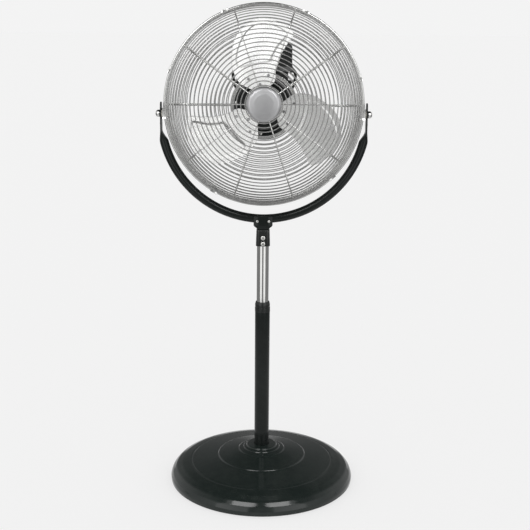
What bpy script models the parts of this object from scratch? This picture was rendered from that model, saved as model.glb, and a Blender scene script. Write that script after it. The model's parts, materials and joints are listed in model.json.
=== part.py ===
"""A pedestal fan with a wire drum head in a tilting yoke, on a telescopic pole and a round base.

Frame: metres, +Z up, origin on the floor under the centre of the base. The fan blows towards -Y,
and +X is on the right of someone who faces it. The head is modelled in the frame of its own axis
(x right, y up, z towards the front) under empties that place it in the yoke and tilt it back.
"""

import math

import bmesh
import bpy
from mathutils import Matrix, Vector

# Clearance between pieces that touch on the real fan.
GAP = 0.0003

# Base: a pressed cover over an iron ballast disc, on four rubber feet.
BASE_RADIUS = 0.239
BASE_SHEET = 0.0016
BASE_NECK_RADIUS = 0.0200
BASE_NECK_TOP = 0.0925
BALLAST_RADIUS = 0.190
BALLAST_BOTTOM = 0.0100
BALLAST_TOP = 0.0200
BALLAST_BOSS_RADIUS = 0.030
BALLAST_BOSS_TOP = 0.0440
FOOT_RADIUS = 0.014
FOOT_CIRCLE = 0.170
FOOT_COUNT = 4
BASE_STUD_RADIUS = 0.006
BASE_NUT_RADIUS = 0.0105
BASE_NUT_HEIGHT = 0.0058
WASHER_RADIUS = 0.016
WASHER_HEIGHT = 0.0018

# Telescopic pole.
POLE_OUTER_RADIUS = 0.019
POLE_OUTER_WALL = 0.0015
POLE_OUTER_BOTTOM = 0.0450
POLE_OUTER_TOP = 0.4547
POLE_INNER_RADIUS = 0.015
POLE_INNER_WALL = 0.0012
POLE_INNER_BOTTOM = 0.2350
POLE_INNER_TOP = 0.6600
COLLAR_TOP = 0.4820
COLLAR_RADIUS = 0.0194
PLUG_TOP = 0.0640

# Knuckle on top of the pole, and the saddle that turns in it and holds the yoke.
KNUCKLE_BOTTOM = 0.6290
KNUCKLE_TOP = 0.6720
KNUCKLE_WIDTH_BOTTOM = 0.0355
KNUCKLE_WIDTH_TOP = 0.0330
KNUCKLE_CHANNEL_WIDTH = 0.0135
KNUCKLE_CHANNEL_DEPTH = 0.0016
KNUCKLE_SCREW_HEIGHTS = {"lower": 0.6355, "upper": 0.6505}
KNUCKLE_SCREW_HEAD = 0.0055
SPIGOT_RADIUS = 0.009
SPIGOT_BOTTOM = 0.6635
SADDLE_WIDTH = 0.0475
SADDLE_NECK_WIDTH = 0.0256
SADDLE_DEPTH = 0.0290
SADDLE_TOP = 0.7055
SADDLE_SCREW_HEIGHT = 0.6925
SADDLE_SCREW_OFFSET = 0.0145

# Yoke: a round tube bent through most of a circle, flattened into a strap at each end.
YOKE_CENTRE_HEIGHT = 0.9490
YOKE_RADIUS = 0.2520
YOKE_TUBE_RADIUS = 0.0110
YOKE_TUBE_WALL = 0.0016
YOKE_SIDES = 10
YOKE_STEPS = 20
YOKE_ROUND_END = math.radians(76)
STRAP_HALF_WIDTH = 0.0150
STRAP_HALF_THICKNESS = 0.00175
STRAP_X = 0.25165
STRAP_TOP = 0.9860
STRAP_BOTTOM = 0.9180

# Pivots on the two sides of the head.
PIVOT_HEIGHT = 0.9580
HEAD_TILT = math.radians(6.5)
AXIS_RISE = 0.0215
STUD_RADIUS = 0.0040
KNOB_RADIUS = 0.0088
KNOB_LENGTH = 0.0115
PIVOT_PLATE_X = 0.2463
PIVOT_PLATE_THICKNESS = 0.0020
PIVOT_PLATE_HALF = 0.0130
PIVOT_FLANGE_Y = 0.0095

# Guards: two wire dishes whose rim wires meet in the middle of the drum.
DISH_FACE_RADIUS = 0.182
DISH_SHOULDER = 0.060
DISH_DEPTH = 0.075
WIRE_RADIUS = 0.0015
SPOKE_RADIUS = 0.0017
RIM_WIRE_RADIUS = 0.0030
RIM_RADIUS = 0.2430
RIM_OFFSET = 0.0033
WIRE_PITCH = 0.0503
SPOKE_COUNT = 10
GUARD_SEGMENTS = 24
FRONT_PLATE_INNER = 0.0200
FRONT_PLATE_RADIUS = 0.0430
REAR_PLATE_INNER = 0.0608
REAR_PLATE_RADIUS = 0.0840
CAP_RADIUS = 0.0415
CLIP_ANGLES = (16, 66, 113, 160, 240, 314)

# Rotor: three riveted sheet blades on a spider.
BLADE_SHEET = 0.0012
BLADE_ROOT_ANGLES = (102, 223, 343)
BLADE_PITCH_ROOT = math.radians(27)
BLADE_PITCH_TIP = math.radians(19)
BLADE_CAMBER = 0.007
BLADE_PLANE = 0.004
# Radius of the station, then the angles of its trailing and leading edge from the blade's root axis.
BLADE_STATIONS = (
    (0.036, 20, -22), (0.049, 28, -30), (0.061, 33.5, -35.5), (0.073, 36.5, -34.5), (0.085, 36, -31),
    (0.105, 32, -30), (0.125, 27, -30), (0.145, 20.5, -31.5), (0.165, 15, -33), (0.180, 9.5, -34.5),
    (0.190, 5, -33.5), (0.200, -1.5, -26), (0.209, -8, -14),
)
BLADE_COLUMNS = 6
SPIDER_THICKNESS = 0.0025
SPIDER_REACH = 0.082
HUB_RADIUS = 0.022
SHAFT_RADIUS = 0.005

# Motor: two housings bolted through the middle of the rear guard.
MOTOR_RADIUS = 0.0600
MOTOR_REAR_RADIUS = 0.0695
MOTOR_WALL = 0.0020
FLANGE_RADIUS = 0.0755
FLANGE_THICKNESS = 0.0030
MOTOR_FRONT = -0.0280
MOTOR_REAR = -0.1300
MOTOR_BOLT_CIRCLE = 0.0700
MOTOR_BOLT_ANGLES = (83.7, 173.7, 263.7, 353.7)
MOTOR_BOLT_RADIUS = 0.0020
BEARING_RADIUS = 0.0110
BEARING_WIDTH = 0.0080

# Control box on a bracket plate behind the rear guard.
REAR_PLATE_FRONT = -0.0730
BRACKET_FRONT = -0.0781
BRACKET_THICKNESS = 0.0018
BOX_HALF_WIDTH = 0.0660
BOX_BOTTOM = 0.1000
BOX_TOP = 0.1550
BOX_DEPTH = 0.0400
BOX_WALL = 0.0020
SPEED_KNOB_RADIUS = 0.0170
SPEED_KNOB_LENGTH = 0.0170
SPEED_KNOB_HEIGHT = 0.1275

BLACK_PAINT = ("black_paint", (0.010, 0.011, 0.011), 0.0, 0.22)
BLACK_PLASTIC = ("black_plastic", (0.014, 0.014, 0.015), 0.0, 0.42)
CHROME = ("chrome_wire", (0.78, 0.79, 0.78), 1.0, 0.14)
POLISHED = ("polished_aluminium", (0.86, 0.87, 0.87), 1.0, 0.20)
SILVER = ("silver_paint", (0.50, 0.52, 0.53), 0.6, 0.35)
STEEL = ("zinc_steel", (0.62, 0.63, 0.62), 1.0, 0.30)
IRON = ("cast_iron", (0.09, 0.09, 0.09), 0.4, 0.70)
RUBBER = ("rubber", (0.02, 0.02, 0.02), 0.0, 0.85)
NYLON = ("white_nylon", (0.75, 0.75, 0.72), 0.0, 0.50)
COPPER = ("copper", (0.72, 0.33, 0.16), 1.0, 0.35)


def clear_scene():
    """Remove everything, and make the collections of the fan and of its cutters."""
    for obj in list(bpy.data.objects):
        bpy.data.objects.remove(obj, do_unlink=True)
    parts = bpy.data.collections.new("pedestal_fan")
    cutters = bpy.data.collections.new("cutters")
    for collection in (parts, cutters):
        bpy.context.scene.collection.children.link(collection)
    cutters.hide_render = True
    return parts, cutters


PARTS, CUTTERS = clear_scene()


def finish(obj, finish_of, parent=None, smooth=40):
    """Put a piece in the fan's collection, and give it its own material and parent."""
    label, colour, metallic, roughness = finish_of
    material = bpy.data.materials.new(f"{obj.name}_{label}")
    material.use_nodes = True
    shader = material.node_tree.nodes["Principled BSDF"]
    shader.inputs["Base Color"].default_value = (*colour, 1.0)
    shader.inputs["Metallic"].default_value = metallic
    shader.inputs["Roughness"].default_value = roughness
    obj.data.materials.clear()
    obj.data.materials.append(material)
    PARTS.objects.link(obj)
    obj.parent = parent
    obj.data.shade_smooth()
    obj.data.set_sharp_from_angle(angle=math.radians(smooth))
    return obj


def as_cutter(obj, parent=None):
    """Hide a cutter from the render and show it as a wire."""
    CUTTERS.objects.link(obj)
    obj.parent = parent
    obj.hide_render = True
    obj.display_type = "WIRE"
    return obj


def empty(name, location=(0, 0, 0), rotation=(0, 0, 0), parent=None):
    """An axis or frame that pieces hang on."""
    obj = bpy.data.objects.new(name, None)
    obj.empty_display_size = 0.05
    obj.location = location
    obj.rotation_euler = rotation
    obj.parent = parent
    PARTS.objects.link(obj)
    return obj


def mesh_object(name, build):
    """An object whose mesh the given function fills."""
    mesh = bpy.data.meshes.new(name)
    bm = bmesh.new()
    build(bm)
    bm.to_mesh(mesh)
    bm.free()
    return bpy.data.objects.new(name, mesh)


def turned(name, profile, segments=20, closed=False):
    """A turned shape about Z. The profile's points (radius, z) run down its outer side."""

    def build(bm):
        verts = [bm.verts.new((r, 0, z)) for r, z in profile]
        for a, b in zip(verts, verts[1:]):
            bm.edges.new((a, b))
        if closed:
            bm.edges.new((verts[-1], verts[0]))

    obj = mesh_object(name, build)
    screw = obj.modifiers.new("Turn", "SCREW")
    screw.steps = screw.render_steps = segments
    screw.use_merge_vertices = True
    screw.merge_threshold = 0.00001
    return obj


def ring_profile(inner, outer, low, high):
    """The closed section of a plain ring, outer side first."""
    return ((outer, high), (outer, low), (inner, low), (inner, high))


def disc_profile(radius, low, high):
    """The section of a plain disc, from its top centre to its bottom centre."""
    return ((0, high), (radius, high), (radius, low), (0, low))


def cylinder(name, radius, low, high, segments=24, at=(0, 0), turn=None):
    """A cylinder along Z from low to high, then turned by a matrix."""

    def build(bm):
        place = Matrix.Translation((at[0], at[1], (low + high) / 2))
        bmesh.ops.create_cone(
            bm,
            cap_ends=True,
            segments=segments,
            radius1=radius,
            radius2=radius,
            depth=high - low,
            matrix=place,
        )
        if turn is not None:
            bm.transform(turn)

    return mesh_object(name, build)


def box(name, low, high, bevel=0.0):
    """A box between two corners, with its edges rounded if asked."""

    def build(bm):
        size = [b - a for a, b in zip(low, high)]
        middle = [(a + b) / 2 for a, b in zip(low, high)]
        place = Matrix.Translation(middle) @ Matrix.Diagonal((*size, 1.0))
        bmesh.ops.create_cube(bm, size=1.0, matrix=place)

    obj = mesh_object(name, build)
    if bevel:
        rounding = obj.modifiers.new("Rounding", "BEVEL")
        rounding.width = bevel
        rounding.segments = 2
    return obj


def applied(obj):
    """The object's evaluated mesh as a new plain object of the same name, with the old one removed."""
    if obj.name not in bpy.context.scene.collection.all_objects:
        CUTTERS.objects.link(obj)
    bpy.context.view_layer.update()
    graph = bpy.context.evaluated_depsgraph_get()
    mesh = bpy.data.meshes.new_from_object(obj.evaluated_get(graph))
    name = obj.name
    old = obj.data
    bpy.data.objects.remove(obj, do_unlink=True)
    if isinstance(old, bpy.types.Mesh):
        bpy.data.meshes.remove(old)
    bm = bmesh.new()
    bm.from_mesh(mesh)
    bmesh.ops.remove_doubles(bm, verts=bm.verts, dist=0.00001)
    bm.to_mesh(mesh)
    bm.free()
    mesh.name = name
    return bpy.data.objects.new(name, mesh)


def joined(name, pieces):
    """Plain meshes gathered in one object, still as separate shells."""

    def build(bm):
        for piece in pieces:
            bm.from_mesh(piece.data)

    obj = mesh_object(name, build)
    for piece in pieces:
        bpy.data.objects.remove(piece, do_unlink=True)
    return obj


def combine(obj, other, operation, parent=None):
    """A Boolean of the object with a helper, which is kept as a hidden cutter."""
    as_cutter(other, parent)
    step = obj.modifiers.new(other.name, "BOOLEAN")
    step.operation = operation
    step.object = other
    return obj


def wire(name, points, radius, cyclic=False, sides=4):
    """A wire of the given number of sides along a run of straight stretches, as a plain mesh."""
    curve = bpy.data.curves.new(name, "CURVE")
    curve.dimensions = "3D"
    curve.bevel_depth = radius
    curve.bevel_resolution = max(0, sides // 2 - 2)
    curve.use_fill_caps = True
    spline = curve.splines.new("POLY")
    spline.points.add(len(points) - 1)
    for place, point in zip(spline.points, points):
        place.co = (*point, 1.0)
    spline.use_cyclic_u = cyclic
    return applied(bpy.data.objects.new(name, curve))


def plate(name, outlines, low, high):
    """A flat plate across Z with an outline and, after it, the outlines of its holes."""
    curve = bpy.data.curves.new(name, "CURVE")
    curve.dimensions = "2D"
    curve.fill_mode = "BOTH"
    curve.extrude = (high - low) / 2
    for outline in outlines:
        spline = curve.splines.new("POLY")
        spline.points.add(len(outline) - 1)
        for place, (x, y) in zip(spline.points, outline):
            place.co = (x, y, 0.0, 1.0)
        spline.use_cyclic_u = True
    obj = applied(bpy.data.objects.new(name, curve))
    obj.data.transform(Matrix.Translation((0, 0, (low + high) / 2)))
    return obj


def circle_points(radius, count, centre=(0, 0)):
    """Points round a circle in the plane."""
    turns = [2 * math.pi * i / count for i in range(count)]
    return [(centre[0] + radius * math.cos(t), centre[1] + radius * math.sin(t)) for t in turns]


def rounded_rectangle(low, high, radius, steps=3):
    """The outline of a rectangle with round corners."""
    corners = (
        (high[0] - radius, high[1] - radius, 0),
        (low[0] + radius, high[1] - radius, 90),
        (low[0] + radius, low[1] + radius, 180),
        (high[0] - radius, low[1] + radius, 270),
    )
    points = []
    for x, y, start in corners:
        for step in range(steps + 1):
            turn = math.radians(start + 90 * step / steps)
            points.append((x + radius * math.cos(turn), y + radius * math.sin(turn)))
    return points


def along_y(y):
    """The turn that lays a shape made along Z so that its +Z end points to -Y."""
    return Matrix.Translation((0, y, 0)) @ Matrix.Rotation(math.radians(90), 4, "X")


def build_base():
    """The ballast, its cover, the feet and the nut under the pole."""
    outer = (
        (BASE_NECK_RADIUS, BASE_NECK_TOP),
        (0.0380, BASE_NECK_TOP - 0.0010),
        (0.0400, 0.0875),
        (0.0460, 0.0860),
        (0.0480, 0.0830),
        (0.0580, 0.0810),
        (0.0610, 0.0780),
        (0.1120, 0.0660),
        (0.1150, 0.0625),
        (0.1815, 0.0497),
        (0.1850, 0.0475),
        (0.1885, 0.0478),
        (0.2080, 0.0425),
        (0.2240, 0.0345),
        (0.2345, 0.0230),
        (BASE_RADIUS, 0.0110),
        (BASE_RADIUS - 0.0008, 0.0015),
    )
    cover = turned("base_cover", outer, segments=32)
    wall = cover.modifiers.new("Sheet", "SOLIDIFY")
    wall.thickness = BASE_SHEET
    wall.offset = -1
    wall.use_even_offset = True
    finish(cover, BLACK_PAINT)

    hole = BASE_STUD_RADIUS + GAP
    ballast = turned(
        "base_weight",
        (
            (BALLAST_BOSS_RADIUS, BALLAST_BOSS_TOP),
            (BALLAST_BOSS_RADIUS + 0.006, BALLAST_TOP),
            (BALLAST_RADIUS - 0.002, BALLAST_TOP),
            (BALLAST_RADIUS, BALLAST_TOP - 0.002),
            (BALLAST_RADIUS, BALLAST_BOTTOM),
            (hole, BALLAST_BOTTOM),
            (hole, BALLAST_BOSS_TOP),
        ),
        closed=True,
    )
    finish(ballast, IRON)

    foot = turned(
        "base_foot_1",
        (
            (0, BALLAST_BOTTOM - GAP),
            (FOOT_RADIUS, BALLAST_BOTTOM - GAP),
            (FOOT_RADIUS, 0.0020),
            (FOOT_RADIUS - 0.002, 0),
            (0, 0),
        ),
        segments=14,
    )
    for number in range(FOOT_COUNT):
        turn = math.radians(45 + 360 / FOOT_COUNT * number)
        piece = foot if number == 0 else foot.copy()
        if number:
            piece.data = foot.data.copy()
            piece.name = f"base_foot_{number + 1}"
        piece.location = (FOOT_CIRCLE * math.cos(turn), FOOT_CIRCLE * math.sin(turn), 0)
        finish(piece, RUBBER)

    washer_top = BALLAST_BOTTOM - GAP
    washer = ring_profile(hole, WASHER_RADIUS, washer_top - WASHER_HEIGHT, washer_top)
    finish(turned("base_washer", washer, closed=True, segments=16), STEEL)
    nut_top = washer_top - WASHER_HEIGHT - GAP
    nut_bottom = nut_top - BASE_NUT_HEIGHT
    nut = cylinder("base_nut", BASE_NUT_RADIUS, nut_bottom, nut_top, 6)
    combine(nut, cylinder("base_nut_hole", hole, nut_bottom - 0.01, nut_top + 0.01, 16), "DIFFERENCE")
    finish(nut, STEEL, smooth=20)


def build_pole():
    """The outer tube with its threaded plug, and the twist collar with its bush."""
    bore = POLE_OUTER_RADIUS - POLE_OUTER_WALL
    tube = ring_profile(bore, POLE_OUTER_RADIUS, POLE_OUTER_BOTTOM, POLE_OUTER_TOP)
    finish(turned("pole_outer", tube, closed=True), BLACK_PAINT)
    plug = turned(
        "pole_plug",
        (
            (0, PLUG_TOP),
            (bore - GAP, PLUG_TOP),
            (bore - GAP, POLE_OUTER_BOTTOM),
            (BASE_STUD_RADIUS, POLE_OUTER_BOTTOM),
            (BASE_STUD_RADIUS, 0.0020),
            (0, 0.0020),
        ),
        segments=24,
    )
    finish(plug, STEEL)
    bush_inner = POLE_INNER_RADIUS + GAP
    bush_outer = bore - GAP
    bush = ring_profile(bush_inner, bush_outer, POLE_OUTER_TOP - 0.030, COLLAR_TOP - 0.005 - GAP)
    finish(turned("collar_bush", bush, closed=True), NYLON)
    low = POLE_OUTER_TOP + GAP
    collar = turned(
        "pole_collar",
        (
            (bush_inner, COLLAR_TOP),
            (COLLAR_RADIUS - 0.0022, COLLAR_TOP),
            (COLLAR_RADIUS - 0.0004, COLLAR_TOP - 0.0070),
            (COLLAR_RADIUS - 0.0004, COLLAR_TOP - 0.0130),
            (COLLAR_RADIUS - 0.0012, COLLAR_TOP - 0.0136),
            (COLLAR_RADIUS - 0.0012, COLLAR_TOP - 0.0148),
            (COLLAR_RADIUS, COLLAR_TOP - 0.0154),
            (COLLAR_RADIUS, low),
            (bush_outer + GAP, low),
            (bush_outer + GAP, COLLAR_TOP - 0.005),
            (bush_inner, COLLAR_TOP - 0.005),
        ),
        closed=True,
    )
    finish(collar, BLACK_PLASTIC)


def build_mast():
    """The chrome inner tube, its guide and the knuckle clamped on its top."""
    bore = POLE_INNER_RADIUS - POLE_INNER_WALL
    tube = ring_profile(bore, POLE_INNER_RADIUS, POLE_INNER_BOTTOM, POLE_INNER_TOP)
    finish(turned("pole_inner", tube, closed=True), CHROME)
    guide_radius = POLE_OUTER_RADIUS - POLE_OUTER_WALL - GAP
    guide = turned(
        "pole_guide",
        (
            (0.006, POLE_INNER_BOTTOM + 0.020),
            (bore - GAP, POLE_INNER_BOTTOM + 0.020),
            (bore - GAP, POLE_INNER_BOTTOM - GAP),
            (guide_radius, POLE_INNER_BOTTOM - GAP),
            (guide_radius, POLE_INNER_BOTTOM - 0.018),
            (0.006, POLE_INNER_BOTTOM - 0.018),
        ),
        closed=True,
        segments=24,
    )
    finish(guide, NYLON)

    def tapered_block(bm):
        middle = (KNUCKLE_BOTTOM + KNUCKLE_TOP) / 2
        height = KNUCKLE_TOP - KNUCKLE_BOTTOM
        size = Matrix.Diagonal((KNUCKLE_WIDTH_BOTTOM, KNUCKLE_WIDTH_BOTTOM, height, 1.0))
        bmesh.ops.create_cube(bm, size=1.0, matrix=Matrix.Translation((0, 0, middle)) @ size)
        taper = KNUCKLE_WIDTH_TOP / KNUCKLE_WIDTH_BOTTOM
        for vert in bm.verts:
            if vert.co.z > middle:
                vert.co.x *= taper
                vert.co.y *= taper
        upright = [
            edge for edge in bm.edges if abs(edge.verts[0].co.z - edge.verts[1].co.z) > height / 2
        ]
        bmesh.ops.bevel(bm, geom=upright, offset=0.007, segments=3, profile=0.5, affect="EDGES")
        top = [edge for edge in bm.edges if all(vert.co.z > KNUCKLE_TOP - 0.0001 for vert in edge.verts)]
        bmesh.ops.bevel(bm, geom=top, offset=0.0025, segments=2, profile=0.5, affect="EDGES")

    knuckle = mesh_object("knuckle", tapered_block)
    tube_hole = POLE_INNER_RADIUS + GAP
    tube_cut = cylinder("knuckle_tube_bore", tube_hole, KNUCKLE_BOTTOM - 0.01, POLE_INNER_TOP + GAP, 32)
    combine(knuckle, tube_cut, "DIFFERENCE")
    spigot_hole = SPIGOT_RADIUS + GAP
    spigot_cut = cylinder("knuckle_spigot_bore", spigot_hole, SPIGOT_BOTTOM - GAP, KNUCKLE_TOP + 0.01)
    combine(knuckle, spigot_cut, "DIFFERENCE")
    front = KNUCKLE_WIDTH_BOTTOM / 2
    channel = box(
        "knuckle_channel",
        (-KNUCKLE_CHANNEL_WIDTH / 2, -front - 0.01, KNUCKLE_BOTTOM - 0.01),
        (KNUCKLE_CHANNEL_WIDTH / 2, -front + KNUCKLE_CHANNEL_DEPTH, KNUCKLE_TOP - 0.011),
    )
    combine(knuckle, channel, "DIFFERENCE")
    for place, height in KNUCKLE_SCREW_HEIGHTS.items():
        name = f"knuckle_screw_{place}"
        seat = front - KNUCKLE_CHANNEL_DEPTH
        shank = MOTOR_BOLT_RADIUS
        turn = Matrix.Translation((0, 0, height)) @ along_y(0)
        inside = POLE_INNER_RADIUS - 0.004
        hole = cylinder(f"{name}_hole", shank + GAP, inside, front + 0.01, 16, turn=turn)
        combine(knuckle, hole, "DIFFERENCE")
        screw = turned(
            name,
            (
                (0, seat + 0.0028),
                (KNUCKLE_SCREW_HEAD * 0.72, seat + 0.0025),
                (KNUCKLE_SCREW_HEAD, seat + 0.0012),
                (KNUCKLE_SCREW_HEAD, seat + GAP),
                (shank, seat + GAP),
                (shank, POLE_INNER_RADIUS + GAP),
                (0, POLE_INNER_RADIUS + GAP),
            ),
            segments=20,
        )
        screw.matrix_local = turn
        finish(screw, STEEL)
    finish(knuckle, BLACK_PLASTIC)


def strap_sections(side):
    """The flat sections of one strap, from its round top down to the tube."""
    sections = []
    for degrees in (75, 45, 15):
        turn = math.radians(degrees)
        height = STRAP_TOP - STRAP_HALF_WIDTH * (1 - math.sin(turn))
        half = (STRAP_HALF_THICKNESS, STRAP_HALF_WIDTH * math.cos(turn))
        sections.append((Vector((side * STRAP_X, 0, height)), Vector((-side, 0, 0)), half))
    bottom = (STRAP_HALF_THICKNESS, STRAP_HALF_WIDTH)
    sections.append((Vector((side * STRAP_X, 0, STRAP_BOTTOM)), Vector((-side, 0, 0)), bottom))
    return sections


def tube_sections():
    """The round sections of the yoke's tube, from left to right."""
    sections = []
    for step in range(YOKE_STEPS + 1):
        turn = -YOKE_ROUND_END + 2 * YOKE_ROUND_END * step / YOKE_STEPS
        outward = Vector((math.sin(turn), 0, -math.cos(turn)))
        centre = Vector((0, 0, YOKE_CENTRE_HEIGHT)) + YOKE_RADIUS * outward
        sections.append((centre, -outward, (YOKE_TUBE_RADIUS, YOKE_TUBE_RADIUS)))
    return sections


def loft_ring(bm, centre, inward, half, sides):
    """One closed ring of the yoke. A flat ring is square-ended, a round one is a circle."""
    verts = []
    for side in range(sides):
        turn = 2 * math.pi * (side + 0.5) / sides
        across, deep = math.cos(turn), math.sin(turn)
        if half[0] != half[1]:
            across = math.copysign(1.0, across)
            deep = max(-1.0, min(1.0, deep * 1.08))
        verts.append(bm.verts.new(centre + inward * across * half[0] + Vector((0, deep * half[1], 0))))
    return verts


def loft(name, sections, sides):
    """A closed tube through the sections, capped at both ends."""

    def build(bm):
        rings = [loft_ring(bm, *section, sides) for section in sections]
        for ring, following in zip(rings, rings[1:]):
            for side in range(sides):
                after = (side + 1) % sides
                bm.faces.new((ring[side], ring[after], following[after], following[side]))
        bm.faces.new(rings[0])
        bm.faces.new(rings[-1])
        bmesh.ops.recalc_face_normals(bm, faces=bm.faces)

    return mesh_object(name, build)


def build_yoke():
    """The saddle that turns in the knuckle, the yoke tube and the two screws that hold it."""
    tube = tube_sections()
    yoke = loft("yoke", strap_sections(-1) + tube + strap_sections(1)[::-1], YOKE_SIDES)
    inner = YOKE_TUBE_RADIUS - YOKE_TUBE_WALL
    hollow = [(centre, inward, (inner, inner)) for centre, inward, _ in tube]
    combine(yoke, loft("yoke_bore", hollow[1:-1], YOKE_SIDES), "DIFFERENCE")
    low, high = STRAP_X - 0.01, STRAP_X + 0.01
    for side, name in ((-1, "left"), (1, "right")):
        sideways = Matrix.Rotation(math.radians(90 * side), 4, "Y")
        turn = Matrix.Translation((0, 0, PIVOT_HEIGHT)) @ sideways
        hole = cylinder(f"strap_hole_{name}", STUD_RADIUS + GAP, low, high, 20, turn=turn)
        combine(yoke, hole, "DIFFERENCE")

    half_width = SADDLE_WIDTH / 2
    neck = SADDLE_NECK_WIDTH / 2
    outline = (
        (-neck, KNUCKLE_TOP + GAP),
        (neck, KNUCKLE_TOP + GAP),
        (neck + 0.003, 0.6745),
        (half_width, 0.6790),
        (half_width, SADDLE_TOP),
        (-half_width, SADDLE_TOP),
        (-half_width, 0.6790),
        (-neck - 0.003, 0.6745),
    )
    saddle = plate("saddle", (outline,), -SADDLE_DEPTH / 2, SADDLE_DEPTH / 2)
    saddle.data.transform(Matrix.Rotation(math.radians(90), 4, "X"))
    spigot = cylinder("saddle_spigot", SPIGOT_RADIUS, SPIGOT_BOTTOM, KNUCKLE_TOP + 0.002, 24)
    combine(saddle, spigot, "UNION")
    groove_radius = YOKE_TUBE_RADIUS + GAP
    middle_run = tube[YOKE_STEPS // 2 - 2 : YOKE_STEPS // 2 + 3]
    groove = [(centre, inward, (groove_radius, groove_radius)) for centre, inward, _ in middle_run]
    combine(saddle, loft("saddle_groove", groove, YOKE_SIDES * 2), "DIFFERENCE")
    middle = YOKE_CENTRE_HEIGHT - YOKE_RADIUS
    reach = half_width + 0.01
    mouth = box("saddle_mouth", (-reach, -groove_radius, middle), (reach, groove_radius, middle + 0.03))
    combine(saddle, mouth, "DIFFERENCE")
    front = SADDLE_DEPTH / 2
    for side, name in ((-1, "left"), (1, "right")):
        place = Matrix.Translation((side * SADDLE_SCREW_OFFSET, 0, SADDLE_SCREW_HEIGHT))
        turn = place @ along_y(0)
        hole = cylinder(f"saddle_screw_{name}_hole", MOTOR_BOLT_RADIUS + GAP, -0.03, 0.03, 16, turn=turn)
        combine(saddle, hole, "DIFFERENCE")
        step = yoke.modifiers.new(f"screw_{name}", "BOOLEAN")
        step.object = hole
        screw = turned(
            f"saddle_screw_{name}",
            (
                (0, front + 0.0022),
                (0.0022, front + 0.0020),
                (0.0031, front + 0.0010),
                (0.0031, front + GAP),
                (MOTOR_BOLT_RADIUS, front + GAP),
                (MOTOR_BOLT_RADIUS, -front),
                (0, -front),
            ),
            segments=16,
        )
        screw.matrix_local = turn
        finish(screw, STEEL)
    finish(saddle, BLACK_PAINT)
    finish(yoke, BLACK_PAINT)


def build_pivots(head):
    """On each side a bracket with its stud on the guard, a friction washer and a round knob."""
    washer_in = PIVOT_PLATE_X + PIVOT_PLATE_THICKNESS + GAP
    strap_in = STRAP_X - STRAP_HALF_THICKNESS
    strap_out = STRAP_X + STRAP_HALF_THICKNESS
    knob_in = strap_out + GAP
    half = PIVOT_PLATE_HALF
    for side, name in ((-1, "left"), (1, "right")):
        turn = Matrix.Rotation(math.radians(90 * side), 4, "Y")
        web = box(
            f"pivot_bracket_{name}",
            (PIVOT_PLATE_X, -PIVOT_FLANGE_Y - 0.0010, -half),
            (PIVOT_PLATE_X + PIVOT_PLATE_THICKNESS, PIVOT_FLANGE_Y + 0.0010, half),
        )
        for end, flange_side in (("front", -1), ("rear", 1)):
            y_in = flange_side * (PIVOT_FLANGE_Y - 0.0010)
            y_out = flange_side * (PIVOT_FLANGE_Y + 0.0010)
            flange = box(
                f"pivot_flange_{end}_{name}",
                (PIVOT_PLATE_X - 0.012, min(y_in, y_out), -half + 0.002),
                (PIVOT_PLATE_X + 0.001, max(y_in, y_out), half - 0.002),
            )
            combine(web, flange, "UNION")
        tip = strap_out + KNOB_LENGTH - 0.004
        lay = Matrix.Rotation(math.radians(90), 4, "Y")
        stud = cylinder(f"pivot_stud_{name}", STUD_RADIUS, PIVOT_PLATE_X + 0.001, tip, 20, turn=lay)
        combine(web, stud, "UNION")
        web = applied(web)
        if side < 0:
            web.data.transform(Matrix.Rotation(math.pi, 4, "Z"))
        for helper in (f"pivot_flange_front_{name}", f"pivot_flange_rear_{name}", f"pivot_stud_{name}"):
            bpy.data.objects.remove(bpy.data.objects[helper], do_unlink=True)
        finish(web, BLACK_PAINT, head)

        washer = turned(
            f"friction_washer_{name}",
            ring_profile(STUD_RADIUS + GAP, 0.0120, washer_in, strap_in - GAP),
            closed=True,
            segments=16,
        )
        washer.matrix_local = turn
        finish(washer, NYLON, head)
        hole = STUD_RADIUS + GAP
        knob = turned(
            f"tilt_knob_{name}",
            (
                (0, knob_in + KNOB_LENGTH),
                (KNOB_RADIUS * 0.42, knob_in + KNOB_LENGTH * 0.95),
                (KNOB_RADIUS * 0.76, knob_in + KNOB_LENGTH * 0.80),
                (KNOB_RADIUS * 0.95, knob_in + KNOB_LENGTH * 0.57),
                (KNOB_RADIUS, knob_in + KNOB_LENGTH * 0.35),
                (KNOB_RADIUS, knob_in),
                (hole, knob_in),
                (hole, tip + GAP),
                (0, tip + GAP),
            ),
            segments=20,
        )
        knob.matrix_local = turn
        finish(knob, CHROME, head)


def dish_point(turn, face=1):
    """Radius and height of the dish's shoulder: 0 is the edge of its face and 90 degrees is its rim."""
    return DISH_FACE_RADIUS + DISH_SHOULDER * math.sin(turn), face * DISH_DEPTH * math.cos(turn)


def dish_rings(start, face):
    """Radius, height and lean of each wire ring, a constant pitch apart along the dish."""
    rings = []
    radius = start
    while radius < DISH_FACE_RADIUS:
        rings.append((radius, face * DISH_DEPTH, 0.0))
        radius += WIRE_PITCH
    turn = (radius - DISH_FACE_RADIUS) / DISH_SHOULDER
    while turn < math.radians(80):
        rings.append((*dish_point(turn, face), turn))
        turn += WIRE_PITCH / math.hypot(DISH_SHOULDER * math.cos(turn), DISH_DEPTH * math.sin(turn))
    return rings


def ring_points(radius, height, count=GUARD_SEGMENTS):
    """Points round a wire ring."""
    return [(x, y, height) for x, y in circle_points(radius, count)]


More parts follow.
